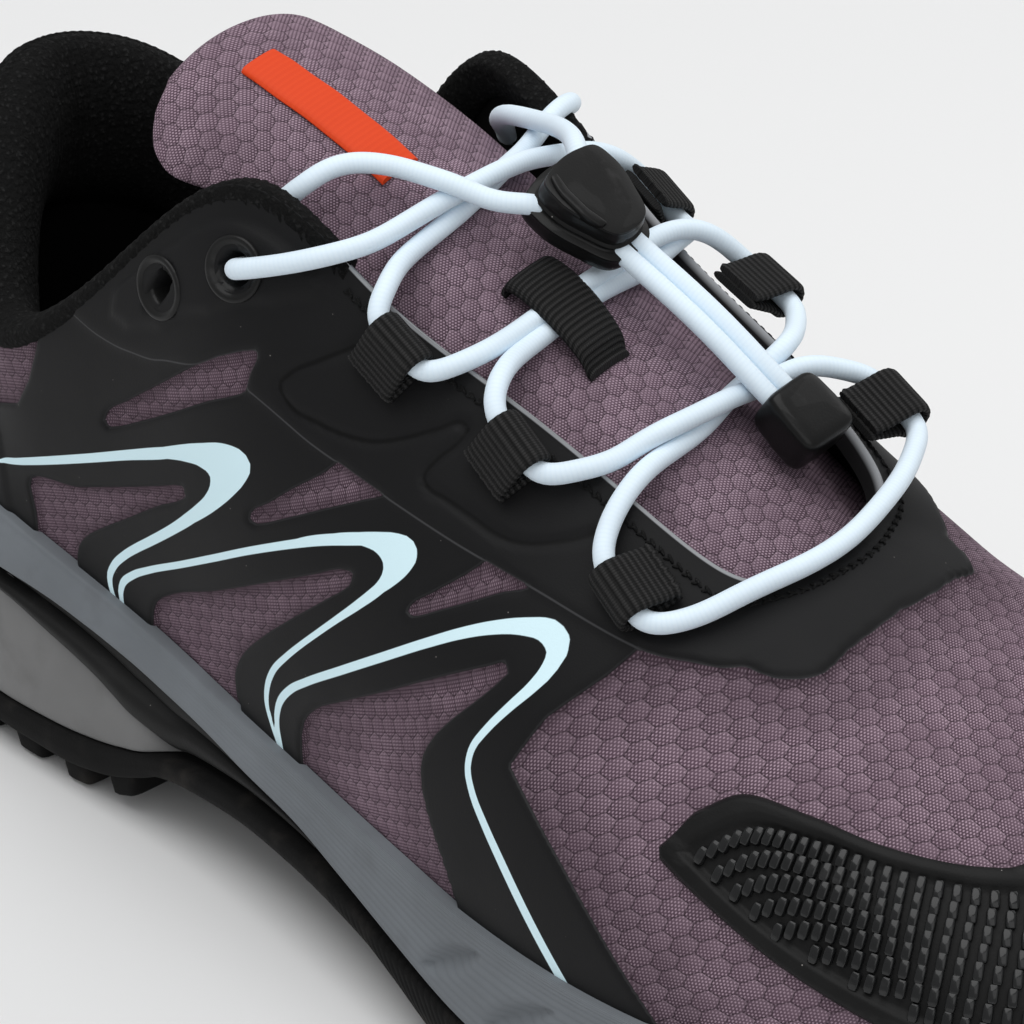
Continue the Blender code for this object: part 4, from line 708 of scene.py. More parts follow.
def stack(rings: Array, values: Grids = None, closed: bool = False) -> Surface:
    """Solid through rings laid over one another.

    Args:
        rings: Rings of points, an even number in each.
        values: Values at the points, with the rings' shape.
        closed: Whether the last ring joins the first; if not, rungs close both ends.
    Returns:
        The closed surface.
    """
    count, size = rings.shape[:2]
    faces = [lattice(count, size, closed, True)]
    if not closed:
        faces += [rungs(size, 0)[:, ::-1], rungs(size, (count - 1) * size)]
    flat = {key: each.reshape(count * size, *each.shape[2:]) for key, each in (values or {}).items()}
    return Surface(rings.reshape(-1, 3), faces, flat)


def shell(outer: Array, inner: Array, values: Grids = None) -> Surface:
    """Solid between two grids of the same size, as rings across their columns.

    Args:
        outer: Places of the outer face.
        inner: Places of the inner face.
        values: Values at both faces.
    Returns:
        The closed surface.
    """
    def turned(over: Array, under: Array) -> Array:
        """One ring a column, out over one face and back under the other."""
        both = np.concatenate([over, under[::-1]])
        return both.transpose(1, 0, *range(2, both.ndim))
    return stack(turned(outer, inner), {key: turned(each, each) for key, each in (values or {}).items()})


def copies(template: Surface, points: Array) -> Surface:
    """Many like surfaces in one.

    Args:
        template: Surface whose faces are repeated.
        points: Points of all copies, one copy a row.
    Returns:
        The joined surface.
    """
    count, size = points.shape[:2]
    shift = (np.arange(count) * size)[:, None, None]
    faces = [(each[None] + shift).reshape(-1, each.shape[1]) for each in template.faces]
    return Surface(points.reshape(-1, 3), faces)


def pillow(rows: int, columns: int, square: float) -> Surface:
    """Rounded block of half size 1: powers of sine and cosine along rows and round columns.

    Args:
        rows: Rings from bottom to top.
        columns: Points of a ring.
        square: Exponent, small for square edges.
    Returns:
        The closed surface.
    """
    lat = np.linspace(-0.5 * math.pi, 0.5 * math.pi, rows + 2)[1:-1][:, None]
    lon = (np.arange(columns) + 0.5)[None] * 2 * math.pi / columns
    def power(value: Array) -> Array:
        """Power that keeps the sign."""
        return np.sign(value) * np.abs(value) ** square
    grid = np.stack(np.broadcast_arrays(power(np.cos(lat)) * power(np.cos(lon)),
                                        power(np.cos(lat)) * power(np.sin(lon)), power(np.sin(lat))), -1)
    return stack(grid)


def path_frames(path: Array, hint: Array) -> tuple[Array, Array, Array]:
    """Directions along a path: its tangent, and two across it that keep near a hint.

    Args:
        path: Points of the path.
        hint: Direction that the second one stays near.
    Returns:
        Tangents, and the two directions across.
    """
    tangent = unit(np.gradient(path, axis=0))
    up = unit(np.broadcast_to(hint, path.shape) - tangent * (tangent * hint).sum(1, keepdims=True))
    return tangent, np.cross(tangent, up), up


def tube(path: Array, radius: float, sides: int) -> Surface:
    """Round cord: a circle carried along a path, its ends domed over one radius.

    Args:
        path: Points of the path.
        radius: Radius of the cord.
        sides: Points round the cord.
    Returns:
        Closed surface with the value at, that is length in millimetres and way round.
    """
    tangent, across, up = path_frames(path, np.array(CORD_SEAM))
    bow = np.array((0.25, 0.7, 0.94))
    first = path[0] - tangent[0] * radius * np.sqrt(1 - bow[:, None] ** 2)
    last = path[-1] + tangent[-1] * radius * np.sqrt(1 - bow[::-1, None] ** 2)
    middle = np.concatenate([first, path, last])
    scale = np.concatenate([bow, np.ones(len(path)), bow[::-1]]) * radius
    wide, high = [np.concatenate([each[[0, 0, 0]], each, each[[-1, -1, -1]]]) for each in (across, up)]
    turn = np.arange(sides) * 2 * math.pi / sides
    ring = wide[:, None] * np.cos(turn)[None, :, None] + high[:, None] * np.sin(turn)[None, :, None]
    at = np.stack(np.broadcast_arrays(run_length(middle)[:, None], turn[None], 0.0), -1)
    return stack(middle[:, None] + ring * scale[:, None, None], {"at": at})


class Nodes:
    """Writer of shader nodes in one tree."""

    def __init__(self, tree: Tree) -> None:
        """Keeps the tree that is written to."""
        self.tree = tree

    def put(self, socket: Socket, value: Any) -> None:
        """Links a socket to a value, or sets the value on it.

        Args:
            socket: Input socket.
            value: Output socket, number, vector or colour.
        """
        if isinstance(value, Socket):
            self.tree.links.new(value, socket)
        elif isinstance(value, (tuple, list)) and len(value) == 3 and len(socket.default_value) == 4:
            socket.default_value = (*value, 1.0)
        else:
            socket.default_value = value

    def add(self, kind: str, inputs: Optional[dict[Any, Any]] = None, **settings: Any) -> bpy.types.Node:
        """New node.

        Args:
            kind: Node type without its prefix.
            inputs: Values or links by socket name or number.
            settings: Properties of the node.
        Returns:
            The node.
        """
        node = self.tree.nodes.new("ShaderNode" + kind)
        for key, value in settings.items():
            setattr(node, key, value)
        for key, value in (inputs or {}).items():
            self.put(node.inputs[key], value)
        return node

    def math(self, operation: str, *values: Any) -> Socket:
        """Sum, product or the like of one to three values."""
        return self.add("Math", dict(enumerate(values)), operation=operation).outputs[0]

    def plus(self, first: Any, second: Any) -> Socket:
        """Sum of two numbers."""
        return self.math("ADD", first, second)

    def times(self, first: Any, second: Any) -> Socket:
        """Product of two numbers."""
        return self.math("MULTIPLY", first, second)

    def off(self, value: Any) -> Socket:
        """One less the number."""
        return self.math("SUBTRACT", 1.0, value)

    def vector(self, operation: str, *values: Any) -> Socket:
        """Vector sum, product or the like."""
        node = self.add("VectorMath", dict(enumerate(values)), operation=operation)
        return node.outputs["Value" if operation in ("LENGTH", "DOT_PRODUCT", "DISTANCE") else "Vector"]

    def ease(self, value: Any, low: Any, high: Any) -> Socket:
        """Smooth step of a value from 0 at low to 1 at high."""
        return self.add("MapRange", {"Value": value, "From Min": low, "From Max": high},
                        interpolation_type="SMOOTHSTEP").outputs["Result"]

    def mix(self, share: Any, first: Any, second: Any) -> Socket:
        """Colour between two colours."""
        return self.add("Mix", {0: share, 6: first, 7: second}, data_type="RGBA").outputs[2]

    def blend(self, share: Any, first: Any, second: Any) -> Socket:
        """Number between two numbers."""
        return self.add("Mix", {0: share, 2: first, 3: second}, data_type="FLOAT").outputs[0]

    def value_of(self, name: str) -> Socket:
        """Number stored at the piece's points."""
        return self.add("Attribute", attribute_name=name).outputs["Fac"]

    def place_of(self, name: str) -> Socket:
        """Vector stored at the piece's points."""
        return self.add("Attribute", attribute_name=name).outputs["Vector"]

    def here(self) -> Socket:
        """Place in the frame, in millimetres."""
        return self.vector("MULTIPLY", self.add("TexCoord").outputs["Object"], (1000.0, 1000.0, 1000.0))

    def noise(self, at: Any, scale: float, detail: float = 2.0) -> Socket:
        """Soft noise, scale in waves a millimetre."""
        return self.add("TexNoise", {"Vector": at, "Scale": scale, "Detail": detail}).outputs[0]

    def group(self, tree: Tree, **inputs: Any) -> bpy.types.Node:
        """Shared effect placed in this tree.

        Args:
            tree: The effect.
            inputs: Its own values by socket name.
        Returns:
            The group's node.
        """
        node = self.add("Group", node_tree=tree)
        for key, value in inputs.items():
            self.put(node.inputs[key], value)
        return node

    def bump(self, height: Any, distance: float, strength: float = 1.0) -> Socket:
        """Normal from a height in units of distance metres."""
        return self.add("Bump", {"Height": height, "Distance": distance, "Strength": strength}).outputs[0]


class Effects:
    """Shared effects as node groups, each built once."""

    def __init__(self) -> None:
        """Builds the groups."""
        self.hexagons = self.make_hexagons()
        self.grain = self.make_grain()
        self.knit = self.make_knit()
        self.ribs = self.make_ribs()
        self.dust = self.make_dust()

    @staticmethod
    def start(name: str, inputs: dict[str, str], outputs: Iterable[str]) -> tuple[Nodes, Any, Any]:
        """Empty group with its sockets.

        Args:
            name: Name of the group.
            inputs: Socket kinds by name.
            outputs: Names of the number sockets put out.
        Returns:
            Writer, input sockets and the output node.
        """
        tree = bpy.data.node_groups.new(name, "ShaderNodeTree")
        for key, kind in inputs.items():
            tree.interface.new_socket(key, in_out="INPUT", socket_type="NodeSocket" + kind)
        for key in outputs:
            tree.interface.new_socket(key, in_out="OUTPUT", socket_type="NodeSocketFloat")
        source = tree.nodes.new("NodeGroupInput")
        return Nodes(tree), source.outputs, tree.nodes.new("NodeGroupOutput")

    def make_hexagons(self) -> Tree:
        """Weave in hexagons: distance to the nearest of two rectangular point grids gives the cell.

        Returns:
            Group with the dark seam, the yarn's height, a tone and a slope for each cell.
        """
        n, given, out = self.start("hexagon_weave", {"At": "Vector", "Size": "Float", "Seam": "Float"},
                                   ("Seam", "Yarn", "Tone", "Slope"))
        scaled = n.vector("DIVIDE", given["At"], n.add("CombineXYZ", {0: given["Size"], 1: given["Size"],
                                                                     2: given["Size"]}).outputs[0])
        half = (0.5, 0.8660254, 1.0)
        minus = (-0.5, -0.8660254, -1.0)
        first = n.vector("WRAP", scaled, half, minus)
        second = n.vector("WRAP", n.vector("ADD", scaled, (0.5, 0.8660254, 0.0)), half, minus)
        nearer = n.math("LESS_THAN", n.vector("LENGTH", first), n.vector("LENGTH", second))
        cell = n.add("Mix", {0: nearer, 4: second, 5: first}, data_type="VECTOR").outputs[1]
        side = n.vector("ABSOLUTE", cell)
        parts = n.add("SeparateXYZ", {0: side}).outputs
        reach = n.math("MAXIMUM", n.vector("DOT_PRODUCT", side, (0.5, 0.8660254, 0.0)), parts[0])
        inner = n.math("SUBTRACT", 0.5, n.times(given["Seam"], 0.35))
        seam = n.ease(reach, n.math("SUBTRACT", 0.5, given["Seam"]), inner)
        flat = n.add("SeparateXYZ", {0: given["At"]}).outputs
        line = n.math("DIVIDE", flat[1], 0.52)
        row = n.math("FLOOR", line)
        along = n.math("MULTIPLY_ADD", row, math.pi, n.times(flat[0], 2 * math.pi / 0.43))
        across = n.math("SINE", n.times(n.math("SUBTRACT", line, row), math.pi))
        yarn = n.times(across, n.math("MULTIPLY_ADD", n.math("SINE", along), 0.5, 0.5))
        middle = n.vector("SUBTRACT", scaled, cell)
        tone = n.add("TexWhiteNoise", {"Vector": n.vector("SNAP", n.vector("ADD", middle, (0.1, 0.1, 0.1)),
                                                          (0.25, 0.25, 0.25))}).outputs["Value"]
        slope = n.vector("DOT_PRODUCT", cell, (0.5, 0.86, 0.0))
        for key, value in (("Seam", seam), ("Yarn", yarn), ("Tone", tone), ("Slope", slope)):
            n.put(out.inputs[key], value)
        return n.tree

    def make_grain(self) -> Tree:
        """Moulded grain: fine cells under a soft cloud, both from place.

        Returns:
            Group with the grain's height and a cloud.
        """
        n, given, out = self.start("fine_grain", {"At": "Vector", "Scale": "Float"}, ("Height", "Cloud"))
        cells = n.add("TexVoronoi", {"Vector": given["At"], "Scale": given["Scale"]}).outputs["Distance"]
        fine = n.add("TexNoise", {"Vector": given["At"], "Scale": n.times(given["Scale"], 1.7),
                                  "Detail": 3.0}).outputs[0]
        cloud = n.add("TexNoise", {"Vector": given["At"], "Scale": n.times(given["Scale"], 0.03),
                                   "Detail": 3.0}).outputs[0]
        n.put(out.inputs["Height"], n.math("MULTIPLY_ADD", cells, 0.5, n.times(fine, 0.6)))
        n.put(out.inputs["Cloud"], cloud)
        return n.tree

    def make_knit(self) -> Tree:
        """Knitted loops: staggered cells shaken by noise, with loose fluff.

        Returns:
            Group with the loops' height and the fluff.
        """
        n, given, out = self.start("knit_loops", {"At": "Vector", "Pitch": "Float"}, ("Height", "Fluff"))
        shaken = n.vector("ADD", given["At"], n.vector("MULTIPLY", n.add("TexNoise", {
            "Vector": given["At"], "Scale": 0.9}).outputs["Color"], (0.9, 0.9, 0.9)))
        cells = n.add("TexVoronoi", {"Vector": shaken, "Scale": n.math("DIVIDE", 1.0, given["Pitch"]),
                                     "Randomness": 0.75}).outputs["Distance"]
        fluff = n.add("TexNoise", {"Vector": given["At"], "Scale": 2.6, "Detail": 4.0,
                                   "Roughness": 0.7}).outputs[0]
        n.put(out.inputs["Height"], n.plus(n.off(cells), n.times(fluff, 0.7)))
        n.put(out.inputs["Fluff"], fluff)
        return n.tree

    def make_ribs(self) -> Tree:
        """Even ribs: the size of a sine of one number.

        Returns:
            Group with the ribs' height.
        """
        n, given, out = self.start("ribs", {"At": "Float", "Pitch": "Float"}, ("Height",))
        wave = n.math("SINE", n.math("DIVIDE", n.times(given["At"], math.pi), given["Pitch"]))
        n.put(out.inputs["Height"], n.math("ABSOLUTE", wave))
        return n.tree

    def make_dust(self) -> Tree:
        """Specks of dust and faint scuffs: thresholds of two noises.

        Returns:
            Group with masks of specks and scuffs.
        """
        n, given, out = self.start("dust", {"At": "Vector", "Amount": "Float"}, ("Speck", "Scuff"))
        specks = n.add("TexVoronoi", {"Vector": given["At"], "Scale": 0.55}).outputs
        chance = n.add("SeparateXYZ", {0: specks["Color"]}).outputs[0]
        few = n.math("GREATER_THAN", chance, n.off(given["Amount"]))
        dot = n.off(n.ease(specks["Distance"], 0.03, 0.075))
        stretched = n.vector("MULTIPLY", given["At"], (0.05, 0.2, 0.2))
        scuff = n.add("TexNoise", {"Vector": stretched, "Scale": 1.0, "Detail": 5.0, "Roughness": 0.65})
        scuff = n.ease(scuff.outputs[0], 0.55, 0.8)
        n.put(out.inputs["Speck"], n.times(dot, few))
        n.put(out.inputs["Scuff"], scuff)
        return n.tree


def tint(code: str) -> Colour:
    """Linear colour of six hexadecimal digits."""
    parts = [int(code[k:k + 2], 16) / 255 for k in (0, 2, 4)]
    return tuple(c / 12.92 if c <= 0.04045 else ((c + 0.055) / 1.055) ** 2.4 for c in parts)


@dataclass(frozen=True)
class Finish:
    """A surface finish: one Principled material with its own pattern."""

    name: str
    colour: Colour
    roughness: float = 0.6

    def material(self, effects: Effects) -> bpy.types.Material:
        """The finish as a material.

        Args:
            effects: Shared node groups.
        Returns:
            The material, made once for each name.
        """
        found = bpy.data.materials.get("look_" + self.name)
        if found is None:
            found = bpy.data.materials.new("look_" + self.name)
            found.use_nodes = True
            found.diffuse_color = (*self.colour, 1.0)
            shader = found.node_tree.nodes["Principled BSDF"]
            shader.inputs["Base Color"].default_value = (*self.colour, 1.0)
            shader.inputs["Roughness"].default_value = self.roughness
            self.dress(Nodes(found.node_tree), shader.inputs, effects)
        return found

    def dress(self, n: Nodes, shader: Any, effects: Effects) -> None:
        """Pattern of the finish, plain here and written by each kind of finish.

        Args:
            n: Writer of the material's tree.
            shader: Input sockets of the Principled shader.
            effects: Shared node groups.
        """


@dataclass(frozen=True)
class MouldedFinish(Finish):
    """Rubber, plastic or film with a moulded grain, dust and scuffs."""

    grain: float = 2.5
    depth: float = 0.06
    dust: float = 0.12
    vary: float = 0.25
    coat: float = 0.0
    shine: float = 0.14

    def dress(self, n: Nodes, shader: Any, effects: Effects) -> None:
        """Colour varies with a cloud, roughness with scuffs, height with the grain.

        Args:
            n: Writer of the material's tree.
            shader: Input sockets of the Principled shader.
            effects: Shared node groups.
        """
        shader["Specular IOR Level"].default_value = self.shine
        shader["Coat Weight"].default_value = self.coat
        here = n.here()
        grain = n.group(effects.grain, At=here, Scale=self.grain).outputs
        dust = n.group(effects.dust, At=here, Amount=self.dust).outputs
        pale = tuple(c * (1 + self.vary) + 0.012 for c in self.colour)
        colour = n.mix(grain["Cloud"], self.colour, pale)
        colour = n.mix(n.times(dust["Scuff"], 0.16), colour, tint("6b6a6a"))
        n.put(shader["Base Color"], n.mix(n.times(dust["Speck"], 0.55), colour, tint("b9b4b0")))
        worn = n.plus(n.times(grain["Cloud"], 0.12), n.times(dust["Scuff"], 0.15))
        n.put(shader["Roughness"], n.plus(self.roughness - 0.06, worn))
        n.put(shader["Normal"], n.bump(grain["Height"], self.depth * MM, 0.7))


@dataclass(frozen=True)
class WeaveFinish(Finish):
    """Fabric woven in hexagons, read from the value weave in millimetres."""

    size: float = 3.15
    seams: float = 0.6
    dark: Colour = (0.05, 0.035, 0.04)
    light: Colour = (0.45, 0.36, 0.39)

    def pattern(self, n: Nodes, effects: Effects) -> tuple[Any, Any]:
        """Colour and height of the weave, with painted light and shade on each cell.

        Args:
            n: Writer of the material's tree.
            effects: Shared node groups.
        Returns:
            Colour and height sockets.
        """
        at = n.place_of("weave")
        cells = n.group(effects.hexagons, At=at, Size=self.size, Seam=0.075).outputs
        cloud = n.ease(n.noise(at, 0.16, 3.0), 0.3, 0.7)
        dots = n.ease(cells["Yarn"], 0.22, 0.8)
        # Painted shade: the dark seams are made darker on the low side of each cell.
        low = n.ease(cells["Slope"], 0.35, -0.2)
        seam = n.times(cells["Seam"], n.math("MULTIPLY_ADD", low, 0.7, 0.3))
        # Painted highlight on the seams at the high side of each cell.
        pale = n.times(n.times(cells["Seam"], n.ease(cells["Slope"], 0.2, 0.4)), cloud)
        base = n.mix(cells["Tone"], self.colour, tuple(c * 0.8 for c in self.colour))
        lit = n.times(dots, n.math("MULTIPLY_ADD", cloud, 0.3, 0.5))
        colour = n.mix(lit, base, self.light)
        # Painted light: each cell is lighter towards its high side.
        colour = n.mix(n.times(n.ease(cells["Slope"], -0.3, 0.5), 0.12), colour, self.light)
        colour = n.mix(n.times(seam, self.seams), colour, self.dark)
        colour = n.mix(n.times(pale, 0.3), colour, self.light)
        height = n.math("SUBTRACT", n.times(dots, 0.5), n.times(seam, 0.6))
        return colour, height

    def dress(self, n: Nodes, shader: Any, effects: Effects) -> None:
        """Weave on the whole piece.

        Args:
            n: Writer of the material's tree.
            shader: Input sockets of the Principled shader.
            effects: Shared node groups.
        """
        colour, height = self.pattern(n, effects)
        n.put(shader["Base Color"], colour)
        n.put(shader["Normal"], n.bump(height, 0.1 * MM, 0.7))
        shader["Specular IOR Level"].default_value = 0.2


@dataclass(frozen=True)
class UpperFinish(WeaveFinish):
    """Fabric under black film, with the printed line, cut edges lit by a painted highlight and the lining
    inside.
    """

    film: Colour = tint("121213")
    # Colour of the painted highlight on the film's edges and the eyestay's step.
    edge: Colour = tint("4a4a4c")
    line: Colour = tint("dcf7ff")

    def dress(self, n: Nodes, shader: Any, effects: Effects) -> None:
        """Film where film is above zero, its rim paler as a painted highlight, its pressed groove darker as
        painted shade, the line inside its half width.

        Args:
            n: Writer of the material's tree.
            shader: Input sockets of the Principled shader.
            effects: Shared node groups.
        """
        colour, weave = self.pattern(n, effects)
        window = n.value_of("film")
        shade = n.plus(n.times(n.ease(window, -2.2, 0.0), 0.3), n.times(n.ease(window, -14.0, -3.0), 0.3))
        colour = n.mix(shade, colour, self.dark)
        here = n.here()
        grain = n.group(effects.grain, At=here, Scale=3.0).outputs
        dust = n.group(effects.dust, At=here, Amount=0.10).outputs
        film = n.mix(grain["Cloud"], self.film, tuple(c * 1.35 for c in self.film))
        film = n.mix(n.times(dust["Speck"], 0.5), film, tint("a9a4a0"))
        # Painted highlight: a thin band along the film's edge and along the eyestay's step is made paler.
        band = n.off(n.ease(n.math("ABSOLUTE", n.math("SUBTRACT", window, 0.18)), 0.05, 0.2))
        seam = n.off(n.ease(n.math("ABSOLUTE", n.value_of("stay")), 0.06, 0.24))
        rim = n.math("MAXIMUM", n.times(band, 0.2), n.times(seam, 0.6))
        film = n.mix(rim, film, self.edge)
        # Painted shade: the pressed groove is made darker.
        groove = n.off(n.ease(n.math("ABSOLUTE", n.value_of("groove")), 0.1, 0.55))
        film = n.mix(n.times(groove, 0.75), film, tint("040404"))
        film = n.mix(n.off(n.ease(n.value_of("throat"), 0.25, 0.5)), film, tint("9a9c9f"))
        on_film = n.ease(window, -0.04, 0.06)
        print_gap = n.math("SUBTRACT", n.math("ABSOLUTE", n.value_of("line")), n.value_of("line_half"))
        print_gap = n.math("MINIMUM", print_gap, n.times(n.value_of("bend"), -1.0))
        print_on = n.off(n.ease(print_gap, -0.06, 0.08))
        print_on = n.times(print_on, n.ease(window, 0.1, 0.3))
        film = n.mix(print_on, film, self.line)
        colour = n.mix(on_film, colour, film)
        inside = n.value_of("lining")
        colour = n.mix(inside, colour, tint("141314"))
        n.put(shader["Base Color"], colour)
        rough = n.blend(on_film, self.roughness, n.math("MULTIPLY_ADD", grain["Cloud"], 0.16, 0.5))
        shader["Specular IOR Level"].default_value = 0.16
        n.put(shader["Roughness"], n.blend(inside, rough, 0.95))
        knit = n.group(effects.knit, At=here, Pitch=0.9).outputs["Height"]
        cloth = n.blend(inside, weave, n.times(knit, 2.0))
        height = n.blend(on_film, cloth, n.times(grain["Height"], 0.22))
        height = n.plus(height, n.times(n.ease(window, -0.35, 0.35), 2.4))
        n.put(shader["Normal"], n.bump(height, 0.12 * MM, 0.8))


@dataclass(frozen=True)
class KnitFinish(Finish):
    """Fuzzy knitted binding and lining."""

    pitch: float = 1.1
    depth: float = 0.5

    def dress(self, n: Nodes, shader: Any, effects: Effects) -> None:
        """Loops raise the surface and their crowns are painted paler as a painted highlight, fluff pales it.

        Args:
            n: Writer of the material's tree.
            shader: Input sockets of the Principled shader.
            effects: Shared node groups.
        """
        knit = n.group(effects.knit, At=n.here(), Pitch=self.pitch).outputs
        pale = tuple(c * 4.0 + 0.006 for c in self.colour)
        # Painted highlight on the crowns of the loops, plus paler fluff.
        lit = n.math("MULTIPLY_ADD", n.ease(knit["Height"], 0.95, 1.3), 0.65,
                     n.times(n.ease(knit["Fluff"], 0.5, 0.75), 0.35))
        n.put(shader["Base Color"], n.mix(lit, self.colour, pale))
        n.put(shader["Normal"], n.bump(knit["Height"], self.depth * MM, 1.0))
        shader["Specular IOR Level"].default_value = 0.15


@dataclass(frozen=True)
class CordFinish(Finish):
    """Round elastic cord: fine braid that winds round its length."""

    pitch: float = 0.7

    def dress(self, n: Nodes, shader: Any, effects: Effects) -> None:
        """Ribs from length plus way round, the grooves between them darker as painted shade, a faint stain
        along it.

        Args:
            n: Writer of the material's tree.
            shader: Input sockets of the Principled shader.
            effects: Shared node groups.
        """
        parts = n.add("SeparateXYZ", {0: n.place_of("at")}).outputs
        wound = n.plus(parts[0], n.times(parts[1], 0.5 * self.pitch / math.pi))
        ribs = n.group(effects.ribs, At=wound, Pitch=self.pitch).outputs["Height"]
        stain = n.ease(n.noise(n.here(), 0.09, 3.0), 0.35, 0.75)
        # Painted shade: the grooves between the ribs are made darker.
        low = tuple(c * k for c, k in zip(self.colour, (0.80, 0.86, 0.92)))
        colour = n.mix(n.times(n.off(ribs), 0.2), self.colour, low)
        n.put(shader["Base Color"], n.mix(n.times(stain, 0.12), colour, tint("b8c0c8")))
        n.put(shader["Normal"], n.bump(ribs, 0.02 * MM, 0.4))
        shader["Sheen Weight"].default_value = 0.2


@dataclass(frozen=True)
class WebbingFinish(Finish):
    """Ribbed webbing: weft ribs along its length crossed by fine warp."""

    # Colour of the painted highlight on the ribs' crowns.
    crown: Colour = tint("3a3939")
    depth: float = 0.22

    def dress(self, n: Nodes, shader: Any, effects: Effects) -> None:
        """Ribs painted pale on their crowns as a painted highlight, warp as fine lines.

        Args:
            n: Writer of the material's tree.
            shader: Input sockets of the Principled shader.
            effects: Shared node groups.
        """
        parts = n.add("SeparateXYZ", {0: n.place_of("at")}).outputs
        ribs = n.group(effects.ribs, At=parts[0], Pitch=1.0).outputs["Height"]
        warp = n.group(effects.ribs, At=parts[1], Pitch=0.42).outputs["Height"]
        # Painted highlight on the crowns of the ribs, broken by the warp.
        lit = n.times(n.ease(ribs, 0.55, 1.0), n.math("MULTIPLY_ADD", warp, 0.6, 0.4))
        n.put(shader["Base Color"], n.mix(n.times(lit, 0.5), self.colour, self.crown))
        n.put(shader["Normal"], n.bump(n.plus(ribs, n.times(warp, 0.35)), self.depth * MM, 0.9))
        shader["Specular IOR Level"].default_value = 0.25


@dataclass(frozen=True)
class FoamFinish(Finish):
    """Moulded foam: fine lines along the sole and a skin of tiny pores."""

    ribs: float = 0.0
    dirt: Colour = (0.12, 0.11, 0.10)

    def dress(self, n: Nodes, shader: Any, effects: Effects) -> None:
        """Lines from the value band, stronger towards the forefoot, and soil in patches from a noise.

        Args:
            n: Writer of the material's tree.
            shader: Input sockets of the Principled shader.
            effects: Shared node groups.
        """
        here = n.here()
        grain = n.group(effects.grain, At=here, Scale=1.6).outputs
        parts = n.add("SeparateXYZ", {0: here}).outputs
        lines = n.group(effects.ribs, At=n.value_of("band"), Pitch=0.9).outputs["Height"]
        where = n.times(n.ease(parts[0], -70.0, 10.0), self.ribs)
        pale = tuple(min(c * 1.35 + 0.01, 1.0) for c in self.colour)
        colour = n.mix(grain["Cloud"], tuple(c * 0.8 for c in self.colour), pale)
        # Painted shade: the grooves between the moulded lines are made darker.
        colour = n.mix(n.times(n.times(n.off(lines), where), 0.18), colour,
                       tuple(c * 0.5 for c in self.colour))
        soil = n.times(n.ease(n.noise(here, 0.12, 5.0), 0.52, 0.75), 0.35)
        n.put(shader["Base Color"], n.mix(soil, colour, self.dirt))
        n.put(shader["Roughness"], n.math("MULTIPLY_ADD", grain["Cloud"], 0.2, self.roughness - 0.1))
        height = n.plus(n.times(grain["Height"], 0.4), n.times(lines, where))
        n.put(shader["Normal"], n.bump(height, 0.08 * MM, 0.7))


@dataclass(frozen=True)
class RubberFinish(Finish):
    """Outsole rubber with a slanting hatch on its forefoot side."""

    def dress(self, n: Nodes, shader: Any, effects: Effects) -> None:
        """Hatch from x plus z, soil from noise.

        Args:
            n: Writer of the material's tree.
            shader: Input sockets of the Principled shader.
            effects: Shared node groups.
        """
        here = n.here()
        parts = n.add("SeparateXYZ", {0: here}).outputs
        slant = n.plus(parts[0], n.times(parts[2], 0.9))
        hatch = n.group(effects.ribs, At=slant, Pitch=1.5).outputs["Height"]
        where = n.ease(parts[0], -10.0, 5.0)
        grain = n.group(effects.grain, At=here, Scale=2.0).outputs
        soil = n.ease(n.noise(here, 0.1, 5.0), 0.5, 0.8)
        n.put(shader["Base Color"], n.mix(n.times(soil, 0.3), self.colour, tint("55504b")))
        height = n.plus(n.times(grain["Height"], 0.25), n.times(hatch, where))
        n.put(shader["Roughness"], n.math("MULTIPLY_ADD", grain["Cloud"], 0.2, self.roughness - 0.1))
        n.put(shader["Normal"], n.bump(height, 0.3 * MM, 0.8))
        shader["Specular IOR Level"].default_value = 0.15


@dataclass(frozen=True)
class FloorFinish(Finish):
    """Pale matt floor with a faint cloud."""

    def dress(self, n: Nodes, shader: Any, effects: Effects) -> None:
        """Colour varies a little with a wide noise.

        Args:
            n: Writer of the material's tree.
            shader: Input sockets of the Principled shader.
            effects: Shared node groups, not used.
        """
        cloud = n.noise(n.here(), 0.004, 2.0)
        n.put(shader["Base Color"], n.mix(n.times(cloud, 0.06), self.colour, (0.7, 0.7, 0.7)))


MAUVE = UpperFinish("upper", tint("5a4753"), 0.82, dark=tint("281d24"), light=tint("bba3b1"))
TONGUE_WEAVE = WeaveFinish("tongue_weave", tint("5d4a56"), 0.85, dark=tint("2b2027"), light=tint("c2a9b8"))
CAP = MouldedFinish("toe_cap_rubber", tint("070707"), 0.5, grain=3.0, depth=0.05, dust=0.06)
STUD = MouldedFinish("toe_stud_rubber", tint("090a0b"), 0.27, grain=3.0, depth=0.03, dust=0.03, coat=0.4)
KNIT = KnitFinish("collar_knit", tint("101010"), 0.95)
EYELET = MouldedFinish("eyelet_enamel", tint("0b0b0b"), 0.36, grain=1.2, depth=0.015, dust=0.02, coat=0.1)
# The webbing's rib crowns carry a painted highlight.
WEBBING = WebbingFinish("webbing", tint("0b0b0b"), 0.75)
THREAD = KnitFinish("thread", tint("101010"), 0.8, pitch=0.5, depth=0.12)
BLUE_CORD = CordFinish("elastic_cord", tint("e3f2fd"), 0.6)
LOCK = MouldedFinish("lock_plastic", tint("060606"), 0.34, grain=2.2, depth=0.025, dust=0.05, coat=0.1)
